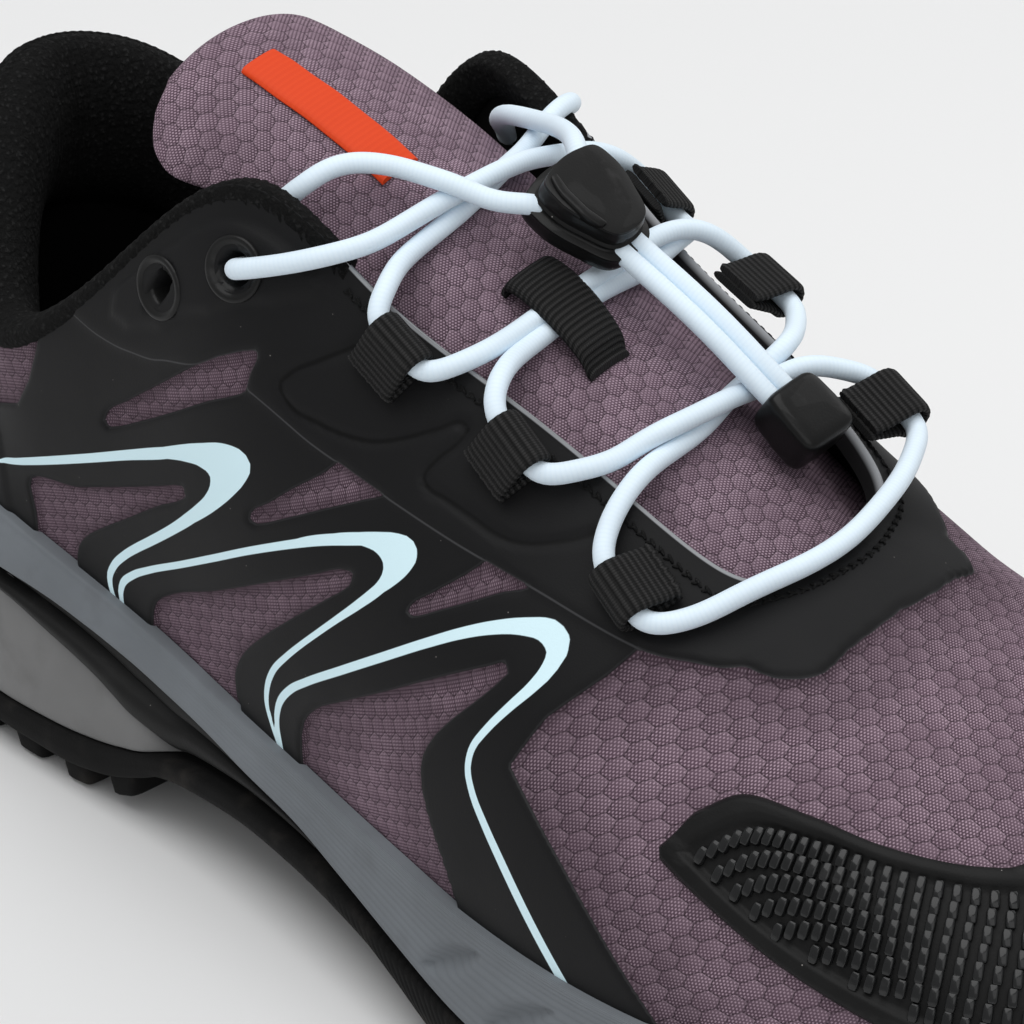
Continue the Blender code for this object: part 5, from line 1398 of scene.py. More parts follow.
# The crown colour is the painted highlight on the label's ribs.
LABEL = WebbingFinish("label_tape", tint("d8400f"), 0.6, crown=tint("de4816"), depth=0.015)
MIDSOLE = FoamFinish("midsole_foam", tint("656a6f"), 0.72, ribs=1.0, dirt=tint("595c60"))
BLOCK = FoamFinish("heel_foam", tint("6e6e6e"), 0.75, ribs=0.0, dirt=tint("5c5b5a"))
PLATE = MouldedFinish("waist_plastic", tint("111111"), 0.5, grain=2.4, depth=0.05, dust=0.08)
TREAD = RubberFinish("tread_rubber", tint("101010"), 0.8)
FOOTBED = KnitFinish("footbed_cloth", tint("171717"), 0.92, pitch=0.8, depth=0.2)
FLOOR = FloorFinish("floor", (0.83, 0.83, 0.83), 0.9)


@dataclass
class Workshop:
    """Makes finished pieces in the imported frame."""

    last: Last
    effects: Effects

    def metres(self, points: Array) -> Array:
        """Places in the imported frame."""
        return (np.asarray(points, dtype=float) - self.last.origin) * MM

    def make(self, name: str, surface: Surface, finish: Finish, slot: Optional[str] = None,
             nodes: Sequence[str] = (), crease: float = 60.0) -> bpy.types.Object:
        """Puts a surface into a mesh object that rides with the shoe.

        Args:
            name: Name of the piece.
            surface: Its points, faces and values.
            finish: Its finish.
            slot: Material slot of the record, not used.
            nodes: Solids that it stands for.
            crease: Edges sharper than this angle stay sharp.
        Returns:
            The object.
        """
        points = self.metres(surface.points)
        volume = sum(np.einsum("ij,ij->i", points[each[:, 0]],
                               np.cross(points[each[:, k]], points[each[:, k + 1]])).sum()
                     for each in surface.faces for k in range(1, each.shape[1] - 1))
        faces = [row for each in surface.faces for row in (each if volume > 0 else each[:, ::-1]).tolist()]
        mesh = bpy.data.meshes.new(name)
        mesh.from_pydata(points.tolist(), [], faces)
        for key, value in surface.values.items():
            wide = value.ndim == 2
            store = mesh.attributes.new(key, "FLOAT_VECTOR" if wide else "FLOAT", "POINT")
            flat = np.ascontiguousarray(value, np.float32).ravel()
            store.data.foreach_set("vector" if wide else "value", flat)
        mesh.polygons.foreach_set("use_smooth", np.ones(len(mesh.polygons), dtype=bool))
        mesh.set_sharp_from_angle(angle=math.radians(crease))
        mesh.materials.append(finish.material(self.effects))
        piece = bpy.data.objects.new(name, mesh)
        bpy.context.scene.collection.objects.link(piece)
        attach(piece, "root")
        if nodes:
            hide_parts(*nodes)
        LOG.info("%s: %d points, %d faces", name, len(points), len(faces))
        return piece


@dataclass
class Studio:
    """Camera, floor and soft light."""

    shop: Workshop
    azimuth: float = 45.4
    elevation: float = 28.7
    roll: float = -0.4
    target: tuple[float, float, float] = (165.4, -30.9, 86.6)
    distance: float = 510.0
    lens: float = 126.46

    def build(self) -> None:
        """Sets up the whole studio."""
        self.place_camera()
        self.lay_floor()
        self.hang_lights()

    def place_camera(self) -> None:
        """Camera on a sphere round its target, turned by its roll."""
        a, e, r = np.radians((self.azimuth, self.elevation, self.roll))
        back = np.array((math.sin(a) * math.cos(e), -math.cos(a) * math.cos(e), math.sin(e)))
        right = np.array((math.cos(a), math.sin(a), 0.0))
        up = np.cross(back, right)
        turned = (math.cos(r) * right + math.sin(r) * up, -math.sin(r) * right + math.cos(r) * up, back)
        place = self.shop.metres(np.array(self.target) + self.distance * back)
        data = bpy.data.cameras.new("camera")
        data.lens = self.lens
        data.sensor_width = 36.0
        data.clip_start = 0.01
        camera = bpy.data.objects.new("camera", data)
        matrix = np.eye(4)
        matrix[:3, :3] = np.array(turned).T
        matrix[:3, 3] = place
        camera.matrix_world = Matrix(matrix.tolist())
        bpy.context.scene.collection.objects.link(camera)
        bpy.context.scene.camera = camera

    def lay_floor(self) -> None:
        """Wide floor just under the tread."""
        side = np.linspace(-4000.0, 4000.0, 9)
        grid = np.stack([*np.meshgrid(side, side, indexing="ij"), np.full((9, 9), -0.2)], -1)
        mesh = bpy.data.meshes.new("floor")
        mesh.from_pydata((grid.reshape(-1, 3) * MM).tolist(), [], lattice(9, 9).tolist())
        mesh.materials.append(FLOOR.material(self.shop.effects))
        floor = bpy.data.objects.new("floor", mesh)
        bpy.context.scene.collection.objects.link(floor)

    def hang_lights(self) -> None:
        """Even pale surroundings and three wide lamps."""
        scene = bpy.context.scene
        scene.view_settings.view_transform = "Standard"
        scene.view_settings.look = "None"
        world = bpy.data.worlds.new("studio")
        world.use_nodes = True
        world.node_tree.nodes["Background"].inputs["Color"].default_value = (0.93, 0.94, 0.95, 1.0)
        world.node_tree.nodes["Background"].inputs["Strength"].default_value = 0.42
        scene.world = world
        for name, place, size, power in LAMPS:
            data = bpy.data.lights.new(name, "AREA")
            data.size = size
            data.energy = power
            lamp = bpy.data.objects.new(name, data)
            lamp.location = place
            aim = Vector((0.0, 0.0, 0.05)) - Vector(place)
            lamp.rotation_euler = aim.to_track_quat("-Z", "Y").to_euler()
            scene.collection.objects.link(lamp)


@dataclass
class SoleUnit:
    """Outsole with lugs, heel block, waist plate, midsole and footbed."""

    shop: Workshop
    columns: int = 560

    def build(self) -> None:
        """Makes every layer of the sole."""
        self.build_outsole()
        self.build_heel_block()
        self.build_waist_plate()
        self.build_midsole()
        self.build_footbed()

    def around(self, start: float = 0.0, end: float = float(ROWS), open_end: bool = False) -> Array:
        """Even row numbers, an even count, with both ends where open."""
        count = 2 * round(self.columns * (end - start) / ROWS / 2)
        return np.linspace(start, end, count, endpoint=open_end)

    def level(self, u: Array, out: Array, height: Height) -> Array:
        """Ring of the sole: plan outline moved out, at the height given for each x."""
        place, _ = self.shop.last.plan(u, out)
        return np.concatenate([place, np.asarray(height(place[:, 0]))[:, None]], 1)

    def line(self, column: str, up: float = 0.0) -> Height:
        """Height of one line of the sole, moved up."""
        return lambda x: self.shop.last.height(column, x) + up

    def between(self, low: Height, high: Height) -> Callable[[Any], Height]:
        """Heights at a share of the way from one height to another."""
        return lambda share: lambda x: low(x) * (1 - share) + high(x) * share

    def filled(self, rings: Sequence[Array], steps: int) -> Array:
        """Rings between rings by a cubic through each column.

        Args:
            rings: Rings to pass through.
            steps: Number of rings wanted.
        Returns:
            The rings.
        """
        rings = np.array(rings)
        at = np.linspace(0.0, len(rings) - 1.0, steps)
        k = np.clip(at.astype(int), 0, len(rings) - 2)
        return hermite(rings, np.gradient(rings, axis=0), k, (at - k)[:, None, None])

    def base(self, x: Array) -> Array:
        """Underside of the outsole between the lugs."""
        last = self.shop.last
        return np.minimum(last.height("tread", x) + LUG_DEPTH, last.height("out_top", x) - 4.0)

    def lug_plans(self) -> Array:
        """Outlines of the lugs: blocks along the edge, then slanting bars.

        Returns:
            Four corners in plan for each lug.
        """
        last = self.shop.last
        plans = []
        for middle in EDGE_LUGS:
            for side in Side:
                u = np.array((-0.5, 0.5, 0.5, -0.5)) * EDGE_LUG_ROWS + side.row(middle)
                deep = np.array((1.0, 1.0, EDGE_LUG_DEEP, EDGE_LUG_DEEP))
                plans.append(last.plan(u, last.flare(u) - deep)[0])
        for x, shift, half in BAR_LUGS:
            for side in (1, -1):
                near = np.array((x, shift + side * 1.6))
                far = np.array((x - 7.0, shift + side * half))
                plans.append(np.array((near, near + (6.0, 0.0), far + (6.0, 0.0), far)))
        return np.array(plans)

    def build_outsole(self) -> None:
        """Base through rounded rings; lugs as square-edged blocks spread between their corners."""
        last = self.shop.last
        u = self.around()
        part = self.between(self.base, self.line("out_top"))
        rings = [self.level(u, last.flare(u, 1.0, out), part(share)) for out, share in
                 ((-2.6, 0.0), (-0.9, 0.02), (0.1, 0.16), (0.6, 0.45), (0.6, 0.65), (0.35, 0.9), (-0.4, 1.0))]
        surface = stack(self.filled(rings, 19))
        template = pillow(7, 20, 0.32)
        unit = template.points
        plans = self.lug_plans()
        a = 0.5 + 0.5 * np.clip(unit[:, 0] / 0.98, -1, 1)
        b = 0.5 + 0.5 * np.clip(unit[:, 1] / 0.98, -1, 1)
        c = 0.5 + 0.5 * unit[:, 2]
        weights = np.stack([(1 - a) * (1 - b), a * (1 - b), a * b, (1 - a) * b], -1)
        middle = plans.mean(1, keepdims=True)
        flat = np.einsum("nk,mkd->mnd", weights, plans)
        flat = middle + (flat - middle) * (0.88 + 0.12 * c)[None, :, None]
        low = last.height("tread", flat[..., 0])
        high = self.base(flat[..., 0]) + 2.0
        lugs = copies(template, np.concatenate([flat, (low + (high - low) * c[None])[..., None]], -1))
        self.shop.make("outsole_tread", surface.joined(lugs), TREAD, "outsole_rubber", ("outsole",), 50.0)

    def build_heel_block(self) -> None:
        """Flared block through smooth rings, its ends closed."""
        last = self.shop.last
        u = self.around(7.0, 17.0, True)
        under = self.line("out_top", 0.1)
        thin = 0.02 + 0.98 * ease(np.abs(u - 12.0), 5.0, 4.3)
        part = self.between(under, lambda x: np.maximum(last.height("block_top", x), under(x) + 1.5))
        profile = ((0.85, 0.0), (0.98, 0.06), (0.96, 0.22), (0.9, 0.45), (0.78, 0.72), (0.66, 0.93),
                   (0.55, 1.0))
        rings = [self.level(u, last.flare(u, wide) - 6.0 * (1 - thin), part(share * thin))
                 for wide, share in profile]
        rings = self.filled(rings, 23)
        band = np.broadcast_to(np.linspace(0.0, 20.0, 23)[:, None], rings.shape[:2])
        self.shop.make("heel_foam", stack(rings, {"band": band}), BLOCK, "midsole_foam",
                       ("heel_block",), 60.0)

    def build_waist_plate(self) -> None:
        """Plate with a leaf-shaped swell and a groove along its middle."""
        last = self.shop.last
        u = self.around(5 + 2 / 3, 18 + 1 / 3, True)
        def under(x: Array) -> Array:
            """Underside of the plate."""
            return np.maximum(last.height("block_top", x), last.height("out_top", x) + 2.0) + 0.1
        part = self.between(under, lambda x: np.maximum(last.height("mid_low", x) - 0.1, under(x) + 1.2))
        leaf = ease(np.abs(u - 12.0), 2.3, 2.75) * (1 - ease(np.abs(u - 12.0), 5.2, 6.1))
        swell = ease(np.abs(u - 12.0), 2.3, 2.75) * ease(np.abs(u - 12.0), 5.0, 4.2)
        profile = ((0.5, 0.0, 0.0), (0.66, 0.1, 0.0), (0.72, 0.28, 0.0), (0.7, 0.4, -0.5), (0.6, 0.48, -1.3),
                   (0.6, 0.56, -1.3), (0.66, 0.62, -0.4), (0.62, 0.78, 0.0), (0.5, 1.0, 0.0))
        def sunk(share: float) -> Height:
            """Height at a share, lower where the plate swells."""
            return lambda x: part(share)(x) - 2.8 * swell * (1 - share)
        rings = [self.level(u, last.flare(u, wide) + groove * leaf + 1.5 * swell * (share < 0.5), sunk(share))
                 for wide, share, groove in profile]
        self.shop.make("waist_leaf", stack(self.filled(rings, 33)), PLATE, "waist_plastic",
                       ("waist_plate",), 60.0)

    def build_midsole(self) -> None:
        """Foam band that rises to the upper, with two leaf-shaped dents a side at the ball."""
        last = self.shop.last
        u = self.around()
        rim = self.line("rim")
        part = self.between(self.line("mid_low"), rim)
        x = last.plan(u)[0][:, 0]
        outer = [self.level(u, last.flare(u, wide, more), part(share)) for wide, more, share in
                 ((0.82, 0.0, 0.0), (0.96, 0.1, 0.03), (1.0, 0.2, 0.12), (0.9, 0.35, 0.36), (0.72, 0.6, 0.6))]
        outer += [last.wall(u, last.share_at(u, part(share)(x), True), out) for share, out in
                  ((0.82, 3.0), (0.94, 2.6), (0.985, 2.3), (1.0, 1.7))]
        outer = self.filled(outer, 49)
        for dent_x, height, half, rise in NOTCHES:
            along = (outer[..., 0] - dent_x) * math.cos(0.6) + (outer[..., 2] - height) * math.sin(0.6)
            across = (outer[..., 2] - height) * math.cos(0.6) - (outer[..., 0] - dent_x) * math.sin(0.6)
            leaf = np.clip(1 - (along / half) ** 2, 0.0, 1.0) * rise * 0.75
            share = np.clip(np.abs(across) / np.maximum(leaf, 1e-3), 0.0, 1.0)
            dent = 2.2 * (1 - share) * np.sqrt(leaf / rise)
            outer[..., 1] -= np.sign(outer[..., 1]) * dent
        cup = self.between(self.line("bed"), rim)
        inner = [last.wall(u, last.share_at(u, cup(share)(x), True), 0.2) for share in (1.0, 0.5, 0.0)]
        rings = np.concatenate([outer, inner])
        band = np.broadcast_to(np.concatenate([np.linspace(0.0, 19.0, 49), (19.2, 19.5, 20.0)])[:, None],
                               rings.shape[:2])
        self.shop.make("midsole_band", stack(rings, {"band": band}), MIDSOLE, "midsole_foam",
                       ("midsole",), 50.0)

    def build_footbed(self) -> None:
        """Loose footbed with a rounded rim."""
        last = self.shop.last
        u = self.around()
        rings = []
        for out, up in ((-2.9, 0.0), (-2.6, 0.4), (-2.7, 2.4), (-3.2, 3.3), (-4.6, 3.8)):
            place, _ = last.plan(u, out)
            rings.append(np.column_stack([place, last.height("bed", place[:, 0]) + GAP + up]))
        self.shop.make("footbed", stack(np.array(rings)), FOOTBED, "insole_foam", ("insole",), 60.0)


@dataclass
class Upper:
    """The upper's wall with film, print and pressed relief in one skin."""

    shop: Workshop
    columns: int = 744
    rows_out: int = 100
    rows_in: int = 16
    film_rise: float = 0.95
    stay_rise: float = 0.4

    def fields(self, u: Array, points: Array, depth: Array) -> dict[str, Array]:
        """Distances in millimetres to every border on the wall.

        Args:
            u: Row numbers.
            points: Places on the wall.
            depth: Length under the topline.
        Returns:
            Values by name.
        """
        x, y, z = points[..., 0], points[..., 1], points[..., 2]
        side = np.minimum(np.mod(u, ROWS), ROWS - np.mod(u, ROWS))
        film = np.full(x.shape, 90.0)
        for outline in WINDOWS.values():
            film = np.minimum(film, -outline_depth(x, z, smooth_line(outline, 3 * len(outline), True)))
        stay = np.where(side < 8.35, by_row(EYESTAY, 1, u) - depth, -30.0)
        window = -outline_depth(x, z, WINDOWS["upper_rear"])
        for name in ("upper_middle", "upper_front"):
            window = np.minimum(window, -outline_depth(x, z, WINDOWS[name]))
        stay = np.minimum(stay, np.where(side > 6.4, window, 30.0))
        rim = self.shop.last.height("rim", self.shop.last.plan(u[0])[0][:, 0])[None]
        counter = np.minimum(by_row(COUNTER, 1, u) - (z - rim), (side - 9.3) * 26.0)
        counter = np.where(side > 9.2, counter, -30.0)
        film = np.maximum(np.maximum(film, np.minimum(stay, 20.0)), counter)
        bend = np.full(x.shape, -20.0)
        for outer, inner in PRINTED_BENDS:
            outline = np.concatenate([smooth_line(outer, 40)[:-1], smooth_line(inner, 40)[:0:-1]])
            bend = np.maximum(bend, outline_depth(x, z, outline))
        stroke = np.array(PRINTED_LINE)
        spans = ((0, 26), (25, 52), (51, 77))
        stroke = np.concatenate([smooth_line(stroke[a:b], 4 * (b - a)) for a, b in spans])
        line, half = line_offset(x, z, stroke)
        fore = x > np.interp(z, (27.0, 51.0, 69.0, 80.0), (190.0, 170.0, 180.0, 186.0))
        turn = 46.0 * np.arctan2(y, z - 22.0)
        ahead = 0.84 * x - 0.54 * z
        fore_at = np.stack([0.92 * ahead + 0.39 * turn, 0.92 * turn - 0.39 * ahead], -1)
        place = self.shop.last.plan(u[0])[0]
        round_foot = np.broadcast_to(run_length(place)[None], x.shape)
        rear_at = np.stack([0.94 * round_foot - 0.36 * z, 0.36 * round_foot + 0.97 * z], -1)
        weave = np.where(fore[..., None], fore_at, rear_at)
        weave = np.concatenate([weave, np.zeros((*x.shape, 1))], -1)
        throat = np.where(side < 6.25, depth + np.where(u > 12.0, 0.0, 0.22), 9.0)
        return {"film": film, "stay": stay, "counter": counter, "line": line, "line_half": 0.88 * half,
                "weave": weave, "bend": bend, "throat": throat, "depth": depth, "side": side}

    def relief(self, found: dict[str, Array], points: Array) -> Array:
        """Height of the skin over the wall: film, eyestay, pressed line, raised field and creases.

        Args:
            found: Distances by name; the one to the pressed line is added.
            points: Places on the wall.
        Returns:
            Heights.
        """
        side, depth = found["side"], found["depth"]
        rise = self.film_rise * ease(found["film"], -0.7, 0.7)
        rise += self.stay_rise * ease(found["stay"], -1.1, 1.1)
        rise += 0.5 * ease(found["counter"], -0.8, 1.2)
        pressed = np.array([(row * 29.0, deep, 0.0) for row, deep in PRESSED_LINE])
        groove, _ = line_offset(side * 29.0, depth, smooth_line(pressed, 90))
        found["groove"] = groove
        rise -= 0.6 * (1 - ease(np.abs(groove), 0.1, 1.0))
        field_at = outline_depth(side * 29.0, depth, [(row * 29.0, deep) for row, deep in RAISED_FIELD])
        rise += 0.8 * ease(field_at, -0.7, 0.9)
        for row, deep in EYELETS.values():
            away = np.hypot((side - row) * 25.0, depth - deep)
            rise -= 5.2 * (1 - ease(away, 1.6, 3.2))
        x, y = points[..., 0], points[..., 1]
        for place, tilt, deep, wide in ((214.0, 0.16, 0.55, 5.0), (203.0, -0.1, 0.4, 4.5)):
            along = x - place - tilt * y
            crease = deep * np.exp(-(along / wide) ** 2)
            rise -= crease * ease(found["film"], 0.0, -6.0) * ease(side, 4.2, 1.0)
        return rise

    def build(self) -> None:
        """Outer face with relief, rolled over the edge to a plain inner face."""
        last = self.shop.last
        u = np.arange(self.columns) * ROWS / self.columns
        v = np.linspace(0.0, 1.0, self.rows_out)
        grid_u, grid_v = np.meshgrid(u, v)
        points = last.meridian(grid_u, grid_v)
        outward = last.frames(grid_u, grid_v)[2]
        steps = np.linalg.norm(np.diff(points, axis=0), axis=2)
        climb = np.concatenate([np.zeros((1, self.columns)), np.cumsum(steps, 0)])
        found = self.fields(grid_u, points, climb[-1:] - climb)
        rise = self.relief(found, points)
        outer = points + outward * rise[..., None]
        roll = np.array((0.75, 0.2, -0.6, -1.3))
        top = points[-1:] + outward[-1:] * (rise[-1:] * 0.5 + roll[:, None])[..., None]
        lift = last.under_top(u, -0.45, 0.0) - points[-1]
        top += lift[None] * np.array((0.7, 1.0, 1.0, 0.7))[:, None, None]
        inner_v = np.linspace(1.0, 0.0, self.rows_in)
        inner_u, inner_grid = np.meshgrid(u, inner_v)
        share = np.linspace(len(v) - 1, 0, self.rows_in).round().astype(int)
        sink = np.minimum(rise[share], 0.0)
        inner = last.wall(inner_u, inner_grid, -WALL + sink)
        rings = np.concatenate([outer, top, inner])
        values = {}
        for key in ("film", "stay", "line", "line_half", "bend", "throat", "groove", "weave"):
            each = found[key]
            values[key] = np.concatenate([each, np.repeat(each[-1:], 4, 0), each[share]])
        values["lining"] = np.concatenate([np.zeros(outer.shape[:2]), np.broadcast_to(
            np.array((0.0, 0.3, 1.0, 1.0))[:, None], (4, self.columns)), np.ones(inner.shape[:2])])
        self.shop.make("upper_skin", stack(rings, values, True), MAUVE, "upper_fabric",
                       ("upper", "eyestay", "overlay_lateral", "overlay_medial", "heel_counter"), 70.0)


@dataclass
class ToeCap:
    """Rubber cap over the toes: smooth border round a sunk field of studs."""

    shop: Workshop
    columns: int = 420
    rows: int = 52
    border: float = 4.0
    pitch: float = 2.47

    def edges(self, u: Array) -> tuple[Array, Array]:
        """Edges of the cap.

        Args:
            u: Row numbers.
        Returns:
            Lower and upper edge as shares of the rise.
        """
        last = self.shop.last
        rim = last.height("rim", last.plan(u)[0][:, 0])
        low = last.share_at(u, rim + by_row(TOE_CAP, 1, u), True)
        return low, last.share_at(u, rim + by_row(TOE_CAP, 2, u), True)

    def inset(self, u: Array, v: Array) -> Array:
        """Distance to the nearest edge of the cap, from the differences of its sheet.

        Args:
            u: Row numbers.
            v: Shares of the rise.
        Returns:
            Distances, above zero inside.
        """
        low, high = self.edges(u.reshape(-1))
        low, high = low.reshape(u.shape), high.reshape(u.shape)
        last = self.shop.last
        above = last.meridian(u, np.minimum(v + 0.01, 1.0))
        long = np.linalg.norm(above - last.meridian(u, v), axis=-1) / 0.01
        slant = np.where(np.abs(u) > 1.3, 0.72, 1.0)
        tip = (2.95 - np.abs(u)) * 26.0
        return np.minimum(np.minimum((v - low) * long * slant, (high - v) * long * 0.95), 0.3 + tip)

    def build(self) -> None:
        """Makes the cap's sheet and its studs."""
        last = self.shop.last
        u = np.linspace(-2.95, 2.95, self.columns)
        low, high = self.edges(u)
        share = np.linspace(0.0, 1.0, self.rows)[:, None]
        grid_u = np.broadcast_to(u, (self.rows, self.columns))
        grid_v = low * (1 - share) + high * share
        inset = self.inset(grid_u, grid_v)
        rise = 0.5 + 1.5 * ease(inset, -0.3, 1.1) - 1.0 * ease(inset, self.border - 1.0, self.border + 0.5)
        outer = last.wall(grid_u, grid_v, rise)
        inner = last.wall(grid_u, grid_v, 0.25)
        self.shop.make("toe_cap_shell", shell(outer, inner), CAP, "toe_rubber", ("toe_cap",), 70.0)
        self.build_studs()

    def build_studs(self) -> None:
        """Studs on even rows: rounded blocks set on the wall inside the border."""
        last = self.shop.last
        fine = np.linspace(-2.9, 2.9, 2000)
        low, high = self.edges(fine)
        run = run_length(last.wall(fine, 0.5 * (low + high), 1.0))
        u = np.interp(np.arange(0.0, run[-1], self.pitch), run, fine)
        step = np.arange(1, 12)[:, None] * 3.4 - 0.4
        grid_u = np.broadcast_to(u, (11, len(u))).reshape(-1)
        level = (self.depth_of(u, self.edges(u)[1]) + step).reshape(-1)
        grid_v = last.share_at(grid_u, level, False)
        keep = self.inset(grid_u, grid_v) > self.border + 0.55
        grid_u, grid_v = grid_u[keep], grid_v[keep]
        along, up, outward = last.frames(grid_u, grid_v)
        place = last.wall(grid_u, grid_v, 1.15)
        template = pillow(5, 12, 0.4)
        local = template.points * np.array((0.72, 1.32, 0.85))
        turn = (0.22 * np.tanh(grid_u * 3.0))[:, None]
        cosine, sine = np.cos(turn), np.sin(turn)
        axes = np.stack([along * cosine + up * sine, up * cosine - along * sine, outward], 1)
        points = place[:, None] + np.einsum("nk,mkd->mnd", local, axes)
        self.shop.make("toe_cap_studs", copies(template, points), STUD, "toe_rubber", (), 50.0)

    def depth_of(self, u: Array, v: Array) -> Array:
        """Length under the topline, summed over 39 steps.

        Args:
            u: Row numbers.
            v: Shares of the rise.
        Returns:
            Lengths.
        """
        share = np.linspace(0.0, 1.0, 40)
        places = v[:, None] + (1 - v[:, None]) * share[None]
        line = self.shop.last.meridian(np.repeat(u[:, None], 40, 1), places)
        return np.linalg.norm(np.diff(line, axis=1), axis=2).sum(1)


@dataclass
class Collar:
    """Knitted collar: binding over the edge and a padded lining inside the heel."""

    shop: Workshop
    columns: int = 360

    def build(self) -> None:
        """Closed profile carried round the topline, thicker towards the heel."""
        last = self.shop.last
        u = np.linspace(6.15, 17.85, self.columns)
        swell = ease(5.3 - np.abs(u - 12.0), 0.0, 2.2)
        thick = 1.2 + 5.8 * swell
        deep = 4.5 + 26.0 * swell
        inside = -(WALL + GAP)
        lip = 0.6 + 0.2 * swell
        profile = ((2.8, lip), (2.4, lip + 0.6), (0.8, lip + 0.95), (-0.7, lip + 0.4), (-1.3, -0.5 * WALL),
                   (-1.0, inside - 0.5 * thick), (0.16 * deep, inside - 0.9 * thick),
                   (0.4 * deep, inside - thick), (0.75 * deep, inside - 0.8 * thick), (deep, inside - 0.7),
                   (deep, inside + 0.1), (0.5 * deep, inside + 0.1), (-0.2, inside), (-0.2, lip - 0.3))
        rings = np.array([last.under_top(u, depth, np.broadcast_to(out, u.shape)) for depth, out in profile])
        count = len(profile)
        at = np.linspace(0.0, count, 56, endpoint=False)
        rings = closed_spline(rings.reshape(count, -1), at).reshape(56, self.columns, 3)
        wave = 0.22 * np.sin(np.arange(self.columns) * 2.4)[None] * np.sin(at * 5.0)[:, None]
        rings = rings + unit(rings - rings.mean(0, keepdims=True)) * wave[..., None]
        piece = self.shop.make("collar_roll", stack(rings.transpose(1, 0, 2)), KNIT, "collar_knit",
                               ("collar",), 80.0)


@dataclass
class TonguePad:
    """Padded tongue with its label and the keeper for the cord."""

    shop: Workshop

    def build(self) -> None:
        """Makes tongue, label and keeper."""
        self.build_pad()
        self.build_label()
        self.build_keeper()

    def build_pad(self) -> None:
        """Flat rounded section carried from front to tip, thin at both ends."""
        last = self.shop.last
        tip_part = 1 - 0.05 * np.cos(np.linspace(0.1, 0.5 * math.pi, 16)) ** 1.5
        s = np.concatenate([np.linspace(0.0, 0.95, 190), tip_part])
        turn = np.linspace(0.0, 2 * math.pi, 150, endpoint=False) + math.pi / 150
        t = -np.cos(turn)[None]
        radius, half_angle, full = [column[:, None] for column in last.tongue_at(s)[3:]]
        end = np.sqrt(np.clip((1.004 - s) / 0.05, 0.02, 1.0))[:, None]
        half = 0.5 * full * (1 - 0.5 * t ** 4) * end
        bulge = np.sign(np.sin(turn)) * np.abs(np.sin(turn)) ** 0.6
        grid_s = np.broadcast_to(s[:, None], (len(s), len(turn)))
        lift = -0.5 * full + half * bulge[None]
        wider = np.where(t < 0, 0.13 * ease(s, 0.7, 0.84)[:, None] * ease(s, 1.0, 0.95)[:, None],
                         0.34 * ease(s, 0.5, 0.3)[:, None])
        lift = lift + 3.2 * ease(t, 0.55, 1.0) * ease(s, 0.5, 0.3)[:, None] * ease(s, 0.0, 0.12)[:, None]
        points = last.tongue_point(grid_s, t * (1 + wider), lift)
        middle = last.tongue_point(s, np.zeros_like(s))
        along = np.broadcast_to(run_length(middle)[:, None], grid_s.shape)
        across = radius * half_angle * t
        weave = np.stack([0.8 * across + 0.6 * along, 0.8 * along - 0.6 * across, np.zeros_like(along)], -1)
        piece = self.shop.make("tongue_pad", stack(points, {"weave": weave}), TONGUE_WEAVE, "upper_fabric",
                               ("tongue",), 80.0)

    def sheet(self, s: Array, t: Array, lift: Array, thick: float) -> Surface:
        """Tape on the tongue with rounded edges.

        Args:
            s: Shares from front to tip.
            t: Shares of the half angle.
            lift: Height over the tongue for each s.
            thick: Thickness.
        Returns:
            Closed surface with the value at, in millimetres along and across.
        """
        last = self.shop.last
        grid_s, grid_t = np.meshgrid(s, t, indexing="ij")
        round_off = 1 - np.abs(np.linspace(-1.0, 1.0, len(t)))[None] ** 10 * 0.7
        lift = np.broadcast_to(lift[:, None], grid_s.shape)
        outer = last.tongue_point(grid_s, grid_t, lift + thick * round_off)
        inner = last.tongue_point(grid_s, grid_t, lift)
        along = run_length(outer[:, len(t) // 2])
        across = run_length(outer[len(s) // 2])
        at = np.stack([*np.meshgrid(along, across, indexing="ij"), np.zeros(grid_s.shape)], -1)
        return shell(outer, inner, {"at": at})

    def build_label(self) -> None:
        """Bare woven label, flat on the tongue."""
        s = np.linspace(0.79, 0.565, 80)
        lift = 0.12 + 0.15 * np.sin(np.linspace(0.0, 9.0, 80)) ** 2
        strip = self.sheet(s, np.linspace(-0.38, -0.12, 24), lift, 0.7)
        self.shop.make("label_strip", strip, LABEL, "label_orange", ("tongue_label",), 50.0)

    def build_keeper(self) -> None:
        """Webbing arched over the crossing cords, sewn flat at both ends."""
        count = 90
        s = np.linspace(0.429, 0.330, count)
        arch = 0.2 + 4.1 * np.sin(np.clip(np.linspace(-0.05, 1.05, count), 0.0, 1.0) * math.pi) ** 0.32
        ribs = 0.12 * np.abs(np.sin(np.arange(count) * math.pi / 3.2))
        strap = self.sheet(s, np.linspace(-0.37, -0.05, 26), arch + ribs, STRAP)
        self.shop.make("keeper_strap", strap, WEBBING, "webbing_black", ("tongue_keeper",), 50.0)


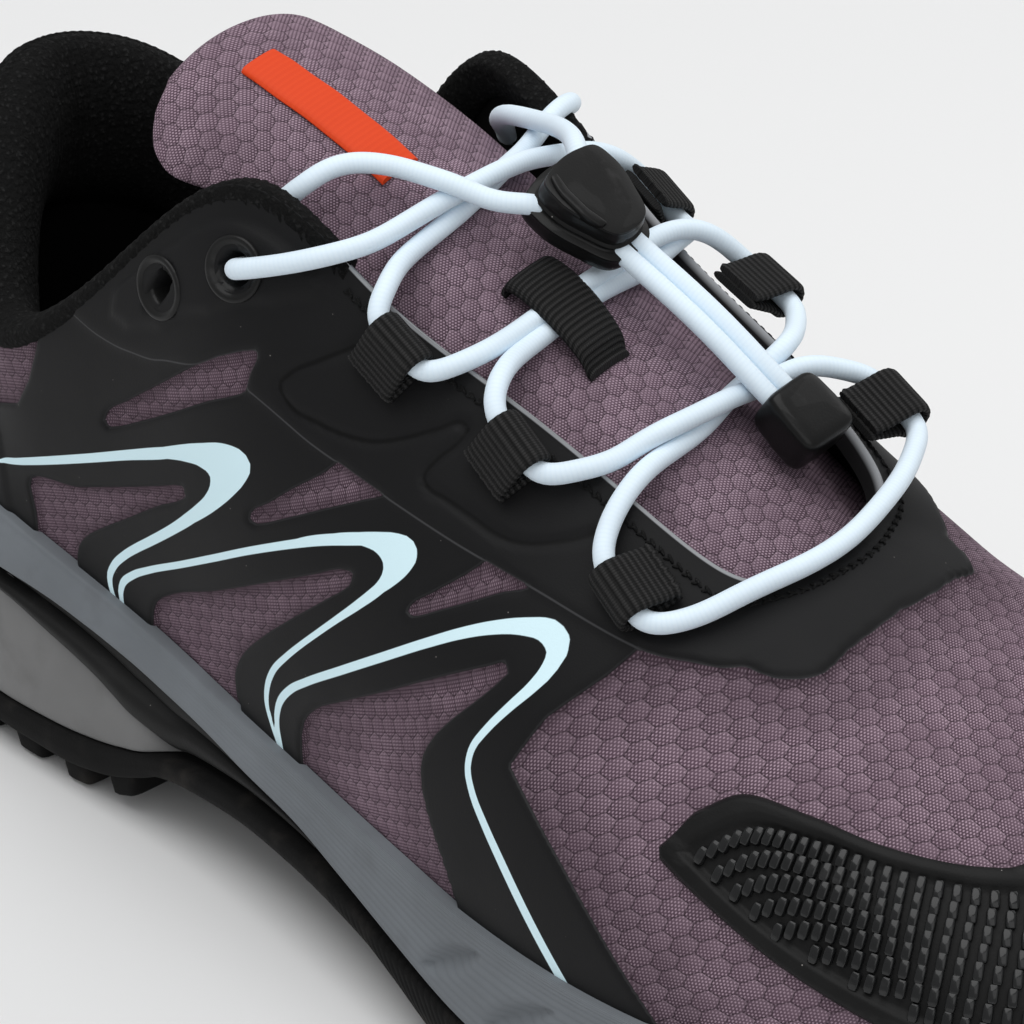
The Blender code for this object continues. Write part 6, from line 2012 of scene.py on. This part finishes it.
@dataclass
class Fittings:
    """Rolled eyelets, webbing loops and stitches on the eyestay."""

    shop: Workshop

    def build(self) -> None:
        """Makes every fitting of both sides."""
        for side in Side:
            for name, (row, depth) in EYELETS.items():
                self.build_eyelet(side, name, row, depth)
        for side, name in LOOPS:
            self.build_loop(Side(side), name)
        self.build_stitches()

    def build_eyelet(self, side: Side, name: str, row: float, depth: float) -> None:
        """Rolled rim: a closed profile turned round the hole's axis.

        Args:
            side: Side of the foot.
            name: Place of the eyelet on that side.
            row: Row number on the outer side.
            depth: Depth under the topline.
        """
        place, axes = self.shop.last.spot(side.row(row), depth, 0.0)
        half = 0.5 * EYELET_HOLE
        profile = smooth_line(((half, -2.6, 0), (half - 0.1, 0.4, 0), (half + 0.25, 1.4, 0),
                               (half + 1.1, 2.0, 0), (half + 2.0, 2.5, 0), (half + 2.5, 2.35, 0),
                               (half + 2.6, 1.7, 0), (half + 2.1, 1.1, 0), (half + 1.0, 0.8, 0),
                               (half + 0.5, 0.1, 0), (half + 0.45, -2.6, 0)), 44, True)
        turn = np.arange(64) * 2 * math.pi / 64
        local = np.stack([profile[:, None, 0] * np.cos(turn), profile[:, None, 0] * np.sin(turn),
                          np.broadcast_to(profile[:, None, 1], (len(profile), 64))], -1)
        self.shop.make(f"eyelet_rim_{side.value}_{name}", stack(place + local @ axes, closed=True), EYELET,
                       "eyelet_black", (f"eyelet_{side.value}_{name}",), 80.0)

    def build_loop(self, side: Side, name: str) -> None:
        """Strap folded round the bore: a ribbed strip carried along its fold and both tails.

        Args:
            side: Side of the foot.
            name: Place of the loop on that side.
        """
        place, axes = self.shop.last.loop(side, name)
        lift = LOOPS[side.value, name][2]
        loose_end = LOOPS[side.value, name][4] < 0
        middle = LOOP_BORE + 0.5 * STRAP
        fold = np.radians(np.linspace(-90.0, 128.0, 12))
        bow = [(middle * math.cos(a), middle * math.sin(a), 0.0) for a in fold]
        line = [(-6.8, -middle - lift, 0.0), (-3.6, -middle - 0.5 * lift, 0.0), *bow,
                (-3.9, 0.5 - 0.4 * lift, 0.0), (-5.4, -0.6 - 0.7 * lift, 0.0),
                (-7.0 if loose_end else -6.4, -1.4 - lift, 0.0)]
        path = smooth_line(line, 130)
        tangent = unit(np.gradient(path, axis=0))
        normal = np.stack([-tangent[:, 1], tangent[:, 0]], -1)
        length = run_length(path)
        wide = np.linspace(-1.0, 1.0, 24)
        ribs = 0.13 * np.abs(np.sin(length * math.pi))[:, None]
        thick = 0.5 * STRAP * (1 - 0.6 * np.abs(wide) ** 12)[None] + ribs - 0.06
        loose = ease(length, length[-1] - 2.2, length[-1])[:, None]
        half = 0.5 * STRAP_WIDE + 0.25 * np.sin(length * 5.1)[:, None] * loose
        fray = (0.25 if loose_end else 0.1) * loose * (np.sin(wide * 31.0) * np.sin(wide * 13.0 + 1.0) + 0.4)
        def face(sign: float) -> Array:
            """Upper or lower face of the strap."""
            flat = path[:, None, :2] + sign * normal[:, None] * thick[..., None]
            return place + np.stack([half * wide, flat[..., 0] - fray, flat[..., 1]], -1) @ axes
        at = np.stack([*np.meshgrid(length, wide * 4.5, indexing="ij"), np.zeros((len(path), 24))], -1)
        self.shop.make(f"webbing_{side.value}_{name}", shell(face(1.0), face(-1.0), {"at": at}), WEBBING,
                       "webbing_black", (f"loop_{side.value}_{name}",), 60.0)

    def stitch_points(self, u: Array, depth: Array, out: float, size: tuple[float, float, float],
                      turn: float) -> Array:
        """Points of stitches set along the eyestay.

        Args:
            u: Row number of each stitch.
            depth: Depth under the topline.
            out: Height over the wall.
            size: Half length, half width and half height.
            turn: Angle against the edge.
        Returns:
            Points, one stitch a row.
        """
        last = self.shop.last
        v = last.share_at(u, depth, False)
        along, up, outward = last.frames(u, v)
        first = along * math.cos(turn) + up * math.sin(turn)
        second = up * math.cos(turn) - along * math.sin(turn)
        local = pillow(5, 10, 0.9).points * np.array(size)
        axes = np.stack([first, second, outward], 1)
        return last.wall(u, v, out)[:, None] + np.einsum("nk,mkd->mnd", local, axes)

    def build_stitches(self) -> None:
        """Chain stitches along the throat's edge."""
        last = self.shop.last
        fine = np.linspace(-6.1, 6.1, 1600)
        run = run_length(last.under_top(fine, 2.6, FILM_TOP))
        u = np.interp(np.arange(0.6, run[-1], 1.75), run, fine)
        template = pillow(5, 10, 0.9)
        deep = 2.6 + 1.3 * ease(np.abs(u), 3.6, 2.6)
        upper = self.stitch_points(u, deep, FILM_TOP + 0.15, (0.85, 0.3, 0.27), 0.45)
        lower = self.stitch_points(u + 0.02, deep + 0.3, FILM_TOP + 0.1, (0.65, 0.25, 0.24), -0.5)
        points = np.concatenate([upper, lower])
        self.shop.make("throat_stitches", copies(template, points), THREAD, "webbing_black", (), 60.0)


@dataclass
class Lacing:
    """Elastic cord through the loops, its free ends, the lock and the cord end."""

    shop: Workshop
    sides: int = 20
    apart: float = 3.3

    def lock_axes(self, along: Sequence[float], up: Sequence[float]) -> Array:
        """Directions of a fitting.

        Args:
            along: Direction of the cord through it.
            up: Direction that its top stays near.
        Returns:
            Unit vectors as rows: along, across, up.
        """
        first = unit(np.array(along))
        second = unit(np.cross(np.array(up), first))
        return np.array((first, second, np.cross(first, second)))

    def cord_end_at(self, side: Side, name: str, way: str) -> Array:
        """Where a strand ends: in a loop, to its rear or front, or through an eyelet.

        Args:
            side: Side of the foot.
            name: Place of the loop or eyelet on that side.
            way: Rear, front or eyelet.
        Returns:
            Points from inside to outside.
        """
        last = self.shop.last
        if way == "eyelet":
            row, depth = EYELETS[name]
            return np.array([last.spot(side.row(row), depth, out)[0] for out in (-3.6, -1.2, 1.2, 3.6)])
        place, axes = last.loop(side, name)
        turn = -axes[0] if way == "rear" else axes[0]
        return np.array((place, place + turn * 3.6, place + turn * 5.8))

    def over_tongue(self, points: Array) -> tuple[Array, Array, Array]:
        """Tongue's arch beneath cord points.

        Args:
            points: Points near the tongue.
        Returns:
            Centres of the arch in y and z, its radius, and the way from centre to point.
        """
        x, *columns = self.shop.last.tongue_at(np.linspace(0.0, 1.0, 200))[:4]
        y, crown, radius = [np.interp(points[:, 0], x[::-1], column[::-1]) for column in columns]
        centre = np.column_stack([y, crown - radius])
        return centre, radius, points[:, 1:] - centre

    def outward_at(self, points: Array) -> Array:
        """Direction away from the tongue's axis, leaning to the toe."""
        return unit(np.column_stack([np.full(len(points), 12.0), self.over_tongue(points)[2]]))

    def clear(self, points: Array) -> Array:
        """Cord points pushed away from the tongue and from the rolled edge of the throat.

        Args:
            points: Points of the cord's middle line.
        Returns:
            Points that keep clear.
        """
        last = self.shop.last
        centre, radius, reach = self.over_tongue(points)
        have = np.linalg.norm(reach, axis=1)
        want = np.maximum(radius + 0.5 * CORD + 0.25, have) / have
        points = np.column_stack([points[:, 0], centre + reach * want[:, None]])
        u = np.linspace(-7.4, 7.4, 223)
        below = np.array((0.0, 2.5, 5.0, 8.0))
        near_edge = np.concatenate([last.under_top(u, depth, 0.0) for depth in below])
        need = np.concatenate([0.5 * CORD + np.where(np.abs(u) > 5.6, 2.2 - 0.05 * depth, 2.1)
                               for depth in below])
        for _ in range(2):
            away = points[:, None] - near_edge[None]
            distance = np.linalg.norm(away, axis=2)
            short = np.argmax(need[None] - distance, axis=1)
            rows = np.arange(len(points))
            have = distance[rows, short]
            grow = np.maximum(need[short], have) / have
            points = near_edge[short] + away[rows, short] * grow[:, None]
        return points

    def strand(self, start: tuple[str, str], end: tuple[str, str],
               middle: Sequence[Sequence[float]]) -> Array:
        """Cord from the outer side over the tongue to the inner side.

        Args:
            start: Loop or eyelet on the outer side, and the way it is left.
            end: The same on the inner side.
            middle: Places that it passes.
        Returns:
            Points of its middle line.
        """
        first = self.cord_end_at(Side.OUTER, *start)
        last_part = self.cord_end_at(Side.INNER, *end)[::-1]
        run = smooth_line(np.concatenate([first[-1:], middle, last_part[:1]]), 60)
        run[2:-2] = self.clear(run[2:-2])
        run = softened(run, 3)
        return smooth_line(np.concatenate([first[:-1], run, last_part[1:]]), 110)

    def over(self, upper: Array, lower: Array, apart: Optional[float] = None) -> Array:
        """Upper cord lifted where it would touch the lower one, the lift spread along it.

        Args:
            upper: Points of the cord on top.
            lower: Points of the cord beneath.
            apart: Distance kept between their middle lines.
        Returns:
            Lifted points.
        """
        apart = apart or self.apart
        away = self.outward_at(upper)
        delta = upper[:, None] - lower[None]
        nearest = np.argmin(np.linalg.norm(delta, axis=2), axis=1)
        gap = delta[np.arange(len(upper)), nearest]
        height = (gap * away).sum(1)
        flat = np.linalg.norm(gap - height[:, None] * away, axis=1)
        lift = np.maximum(np.sqrt(np.maximum(apart ** 2 - flat ** 2, 0.0)) - height, 0.0)
        lift = np.where(flat < apart, lift, 0.0)
        wide = np.max(np.stack([np.roll(lift, k) for k in range(-4, 5)]), axis=0)
        fade = ease(self.from_ends(len(upper)), 2.0, 14.0)
        return upper + away * (softened(wide, 5, 2) * fade)[:, None]

    def build(self) -> None:
        """Makes the laced cord, the lock, the cord end and the free cords."""
        runs = [self.strand(*each) for each in STRANDS]
        runs[1] = self.over(runs[1], runs[0])
        runs[2] = self.over(runs[2], runs[3], 2.2)
        runs[4] = self.over(runs[4], runs[5])
        there = np.concatenate([runs[0][::-1], runs[2][1:], runs[5][::-1][1:]])
        back = np.concatenate([runs[6], runs[4][::-1][1:], runs[3][1:], runs[1][::-1][1:]])
        whole = [self.even(there[:-1]), self.even(back)]
        surface = tube(whole[0], 0.5 * CORD, self.sides).joined(tube(whole[1], 0.5 * CORD, self.sides))
        self.shop.make("lace_strands", surface, BLUE_CORD, "cord_blue", ("lace",), 80.0)
        fittings = self.build_lock()
        self.build_free_cords(runs)

    def even(self, points: Array) -> Array:
        """Same line with even short steps and softer bends.

        Args:
            points: Points of the line.
        Returns:
            New points, about 0.75 mm apart.
        """
        line = smooth_line(points, int(run_length(points)[-1] / 0.75))
        return line + (softened(line, 3) - line) * ease(self.from_ends(len(line)), 0.0, 8.0)[:, None]

    def from_ends(self, count: int) -> Array:
        """Steps from each point of a line to its nearer end."""
        return np.minimum(np.arange(count), np.arange(count)[::-1]).astype(float)

    def build_lock(self) -> list[bpy.types.Object]:
        """Lock body, wedge button with its ridge, and the clamp on the cord's end.

        Returns:
            The pieces that sit on the free cords.
        """
        axes = self.lock_axes(LOCK_ALONG, LOCK_UP)
        place = np.array(LOCK_AT)
        outline = smooth_line(np.column_stack([LOCK_OUTLINE, np.zeros(len(LOCK_OUTLINE))]), 96, True)[:, :2]
        def rings(levels: Sequence[tuple[float, float, float]]) -> Array:
            """Rings of the outline along a smooth table.

            Args:
                levels: Scale, height and tilt of some rings.
            Returns:
                The rings.
            """
            table = smooth_line(levels, 44)
            local = np.concatenate([outline[None] * table[:, :1, None],
                                    np.broadcast_to(table[:, 1, None, None], (45, 96, 1))], -1)
            local[..., 2] += table[:, 2, None] * local[..., 0]
            return place + local @ axes
        body = rings(((0.3, -3.2, 0), (0.84, -3.2, 0), (0.97, -2.8, 0), (1.0, -2.3, 0), (1.02, -0.4, 0),
                      (1.02, 0.2, 0), (1.0, 0.5, 0), (0.9, 0.55, 0), (0.87, 0.7, 0), (0.86, 1.3, 0),
                      (0.8, 1.6, 0), (0.4, 1.6, 0)))
        lock = self.shop.make("lock_body", stack(body), LOCK, "lock_black", ("cord_lock",), 40.0)
        button = rings(((0.5, 1.2, 0), (0.82, 1.3, 0), (0.85, 2.0, 0), (0.84, 4.2, -0.03),
                        (0.83, 4.75, -0.05), (0.8, 5.0, -0.06), (0.72, 5.05, -0.06), (0.15, 5.0, -0.06)))
        ridge = pillow(9, 28, 0.4)
        bar = ridge.points * np.array((5.4, 0.85, 0.75))
        bar[:, 1] += 0.04 * bar[:, 0] ** 2 - 5.2
        bar[:, 2] += 4.95 - 0.06 * bar[:, 0]
        wedge = stack(button).joined(Surface(place + bar @ axes, ridge.faces))
        top = self.shop.make("lock_wedge", wedge, LOCK, "lock_black", ("cord_lock_button",), 40.0)
        end_axes = self.lock_axes(END_ALONG, LOCK_UP)
        clamp = pillow(19, 48, 0.32)
        shape = clamp.points[:, [2, 0, 1]] * np.array((5.4, 5.4, 4.0))
        shape[:, 1] *= 1 - 0.06 * (shape[:, 0] / 5.4) ** 2 + 0.05 * shape[:, 0] / 5.4
        end = self.shop.make("cord_clamp", Surface(np.array(END_AT) + shape @ end_axes, clamp.faces), LOCK,
                             "lock_black", ("cord_end",), 50.0)
        return [lock, top, end]

    def free_cord(self, name: str, node: str, path: Array) -> None:
        """Free cord along a path.

        Args:
            name: Name of the piece.
            node: Solid that it stands for.
            path: Points of its middle line.
        """
        path = self.even(path)
        cord = tube(path, 0.5 * CORD, self.sides)
        piece = self.shop.make(name, cord, BLUE_CORD, "cord_blue", (node,), 80.0)
        route = self.shop.metres(path)

    def build_free_cords(self, runs: Sequence[Array]) -> None:
        """Two ends from the eyelets to the lock, and two tails from the lock to the clamp.

        Args:
            runs: Strands that the ends lie on.
        """
        axes = self.lock_axes(LOCK_ALONG, LOCK_UP)
        end_axes = self.lock_axes(END_ALONG, LOCK_UP)
        lock, end = np.array(LOCK_AT), np.array(END_AT)
        for side, route, mouth in ((Side.OUTER, OUTER_END, ((-6.4, -7.6, 0.0), (-3.6, -4.6, 0.0))),
                                   (Side.INNER, INNER_END, ((-7.4, 6.4, 0.2), (-4.4, 4.0, 0.0)))):
            hole = self.cord_end_at(side, "front", "eyelet")[0]
            path = smooth_line(np.vstack([hole, route, lock + np.array(mouth) @ axes]), 70)
            path = self.over(self.over(path, runs[0]), runs[1])
            self.free_cord("lace_free_" + side.value, "lace_end_" + side.value, path)
        for side, shift in ((Side.OUTER, -1.65), (Side.INNER, 1.65)):
            start = lock + np.array((7.0, shift, -0.2)) @ axes
            stop = end + np.array((-2.2, shift, 0.0)) @ end_axes
            bow = 0.5 * (start + stop) + np.array((0.3, 0.0, 0.9))
            self.free_cord("lace_tail_run_" + side.value, "lace_tail_" + side.value,
                           smooth_line((start, bow, stop), 40))


def main() -> None:
    """Builds the studio and every part of the shoe in order."""
    logging.basicConfig(level=logging.INFO, format="%(name)s %(message)s")
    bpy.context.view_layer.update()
    shop = Workshop(Last(), Effects())
    for part in (Studio(shop), Lacing(shop), SoleUnit(shop), Upper(shop), ToeCap(shop), Collar(shop),
                 TonguePad(shop), Fittings(shop)):
        part.build()
        LOG.info("%s done", type(part).__name__)


if __name__ == "__main__":
    main()
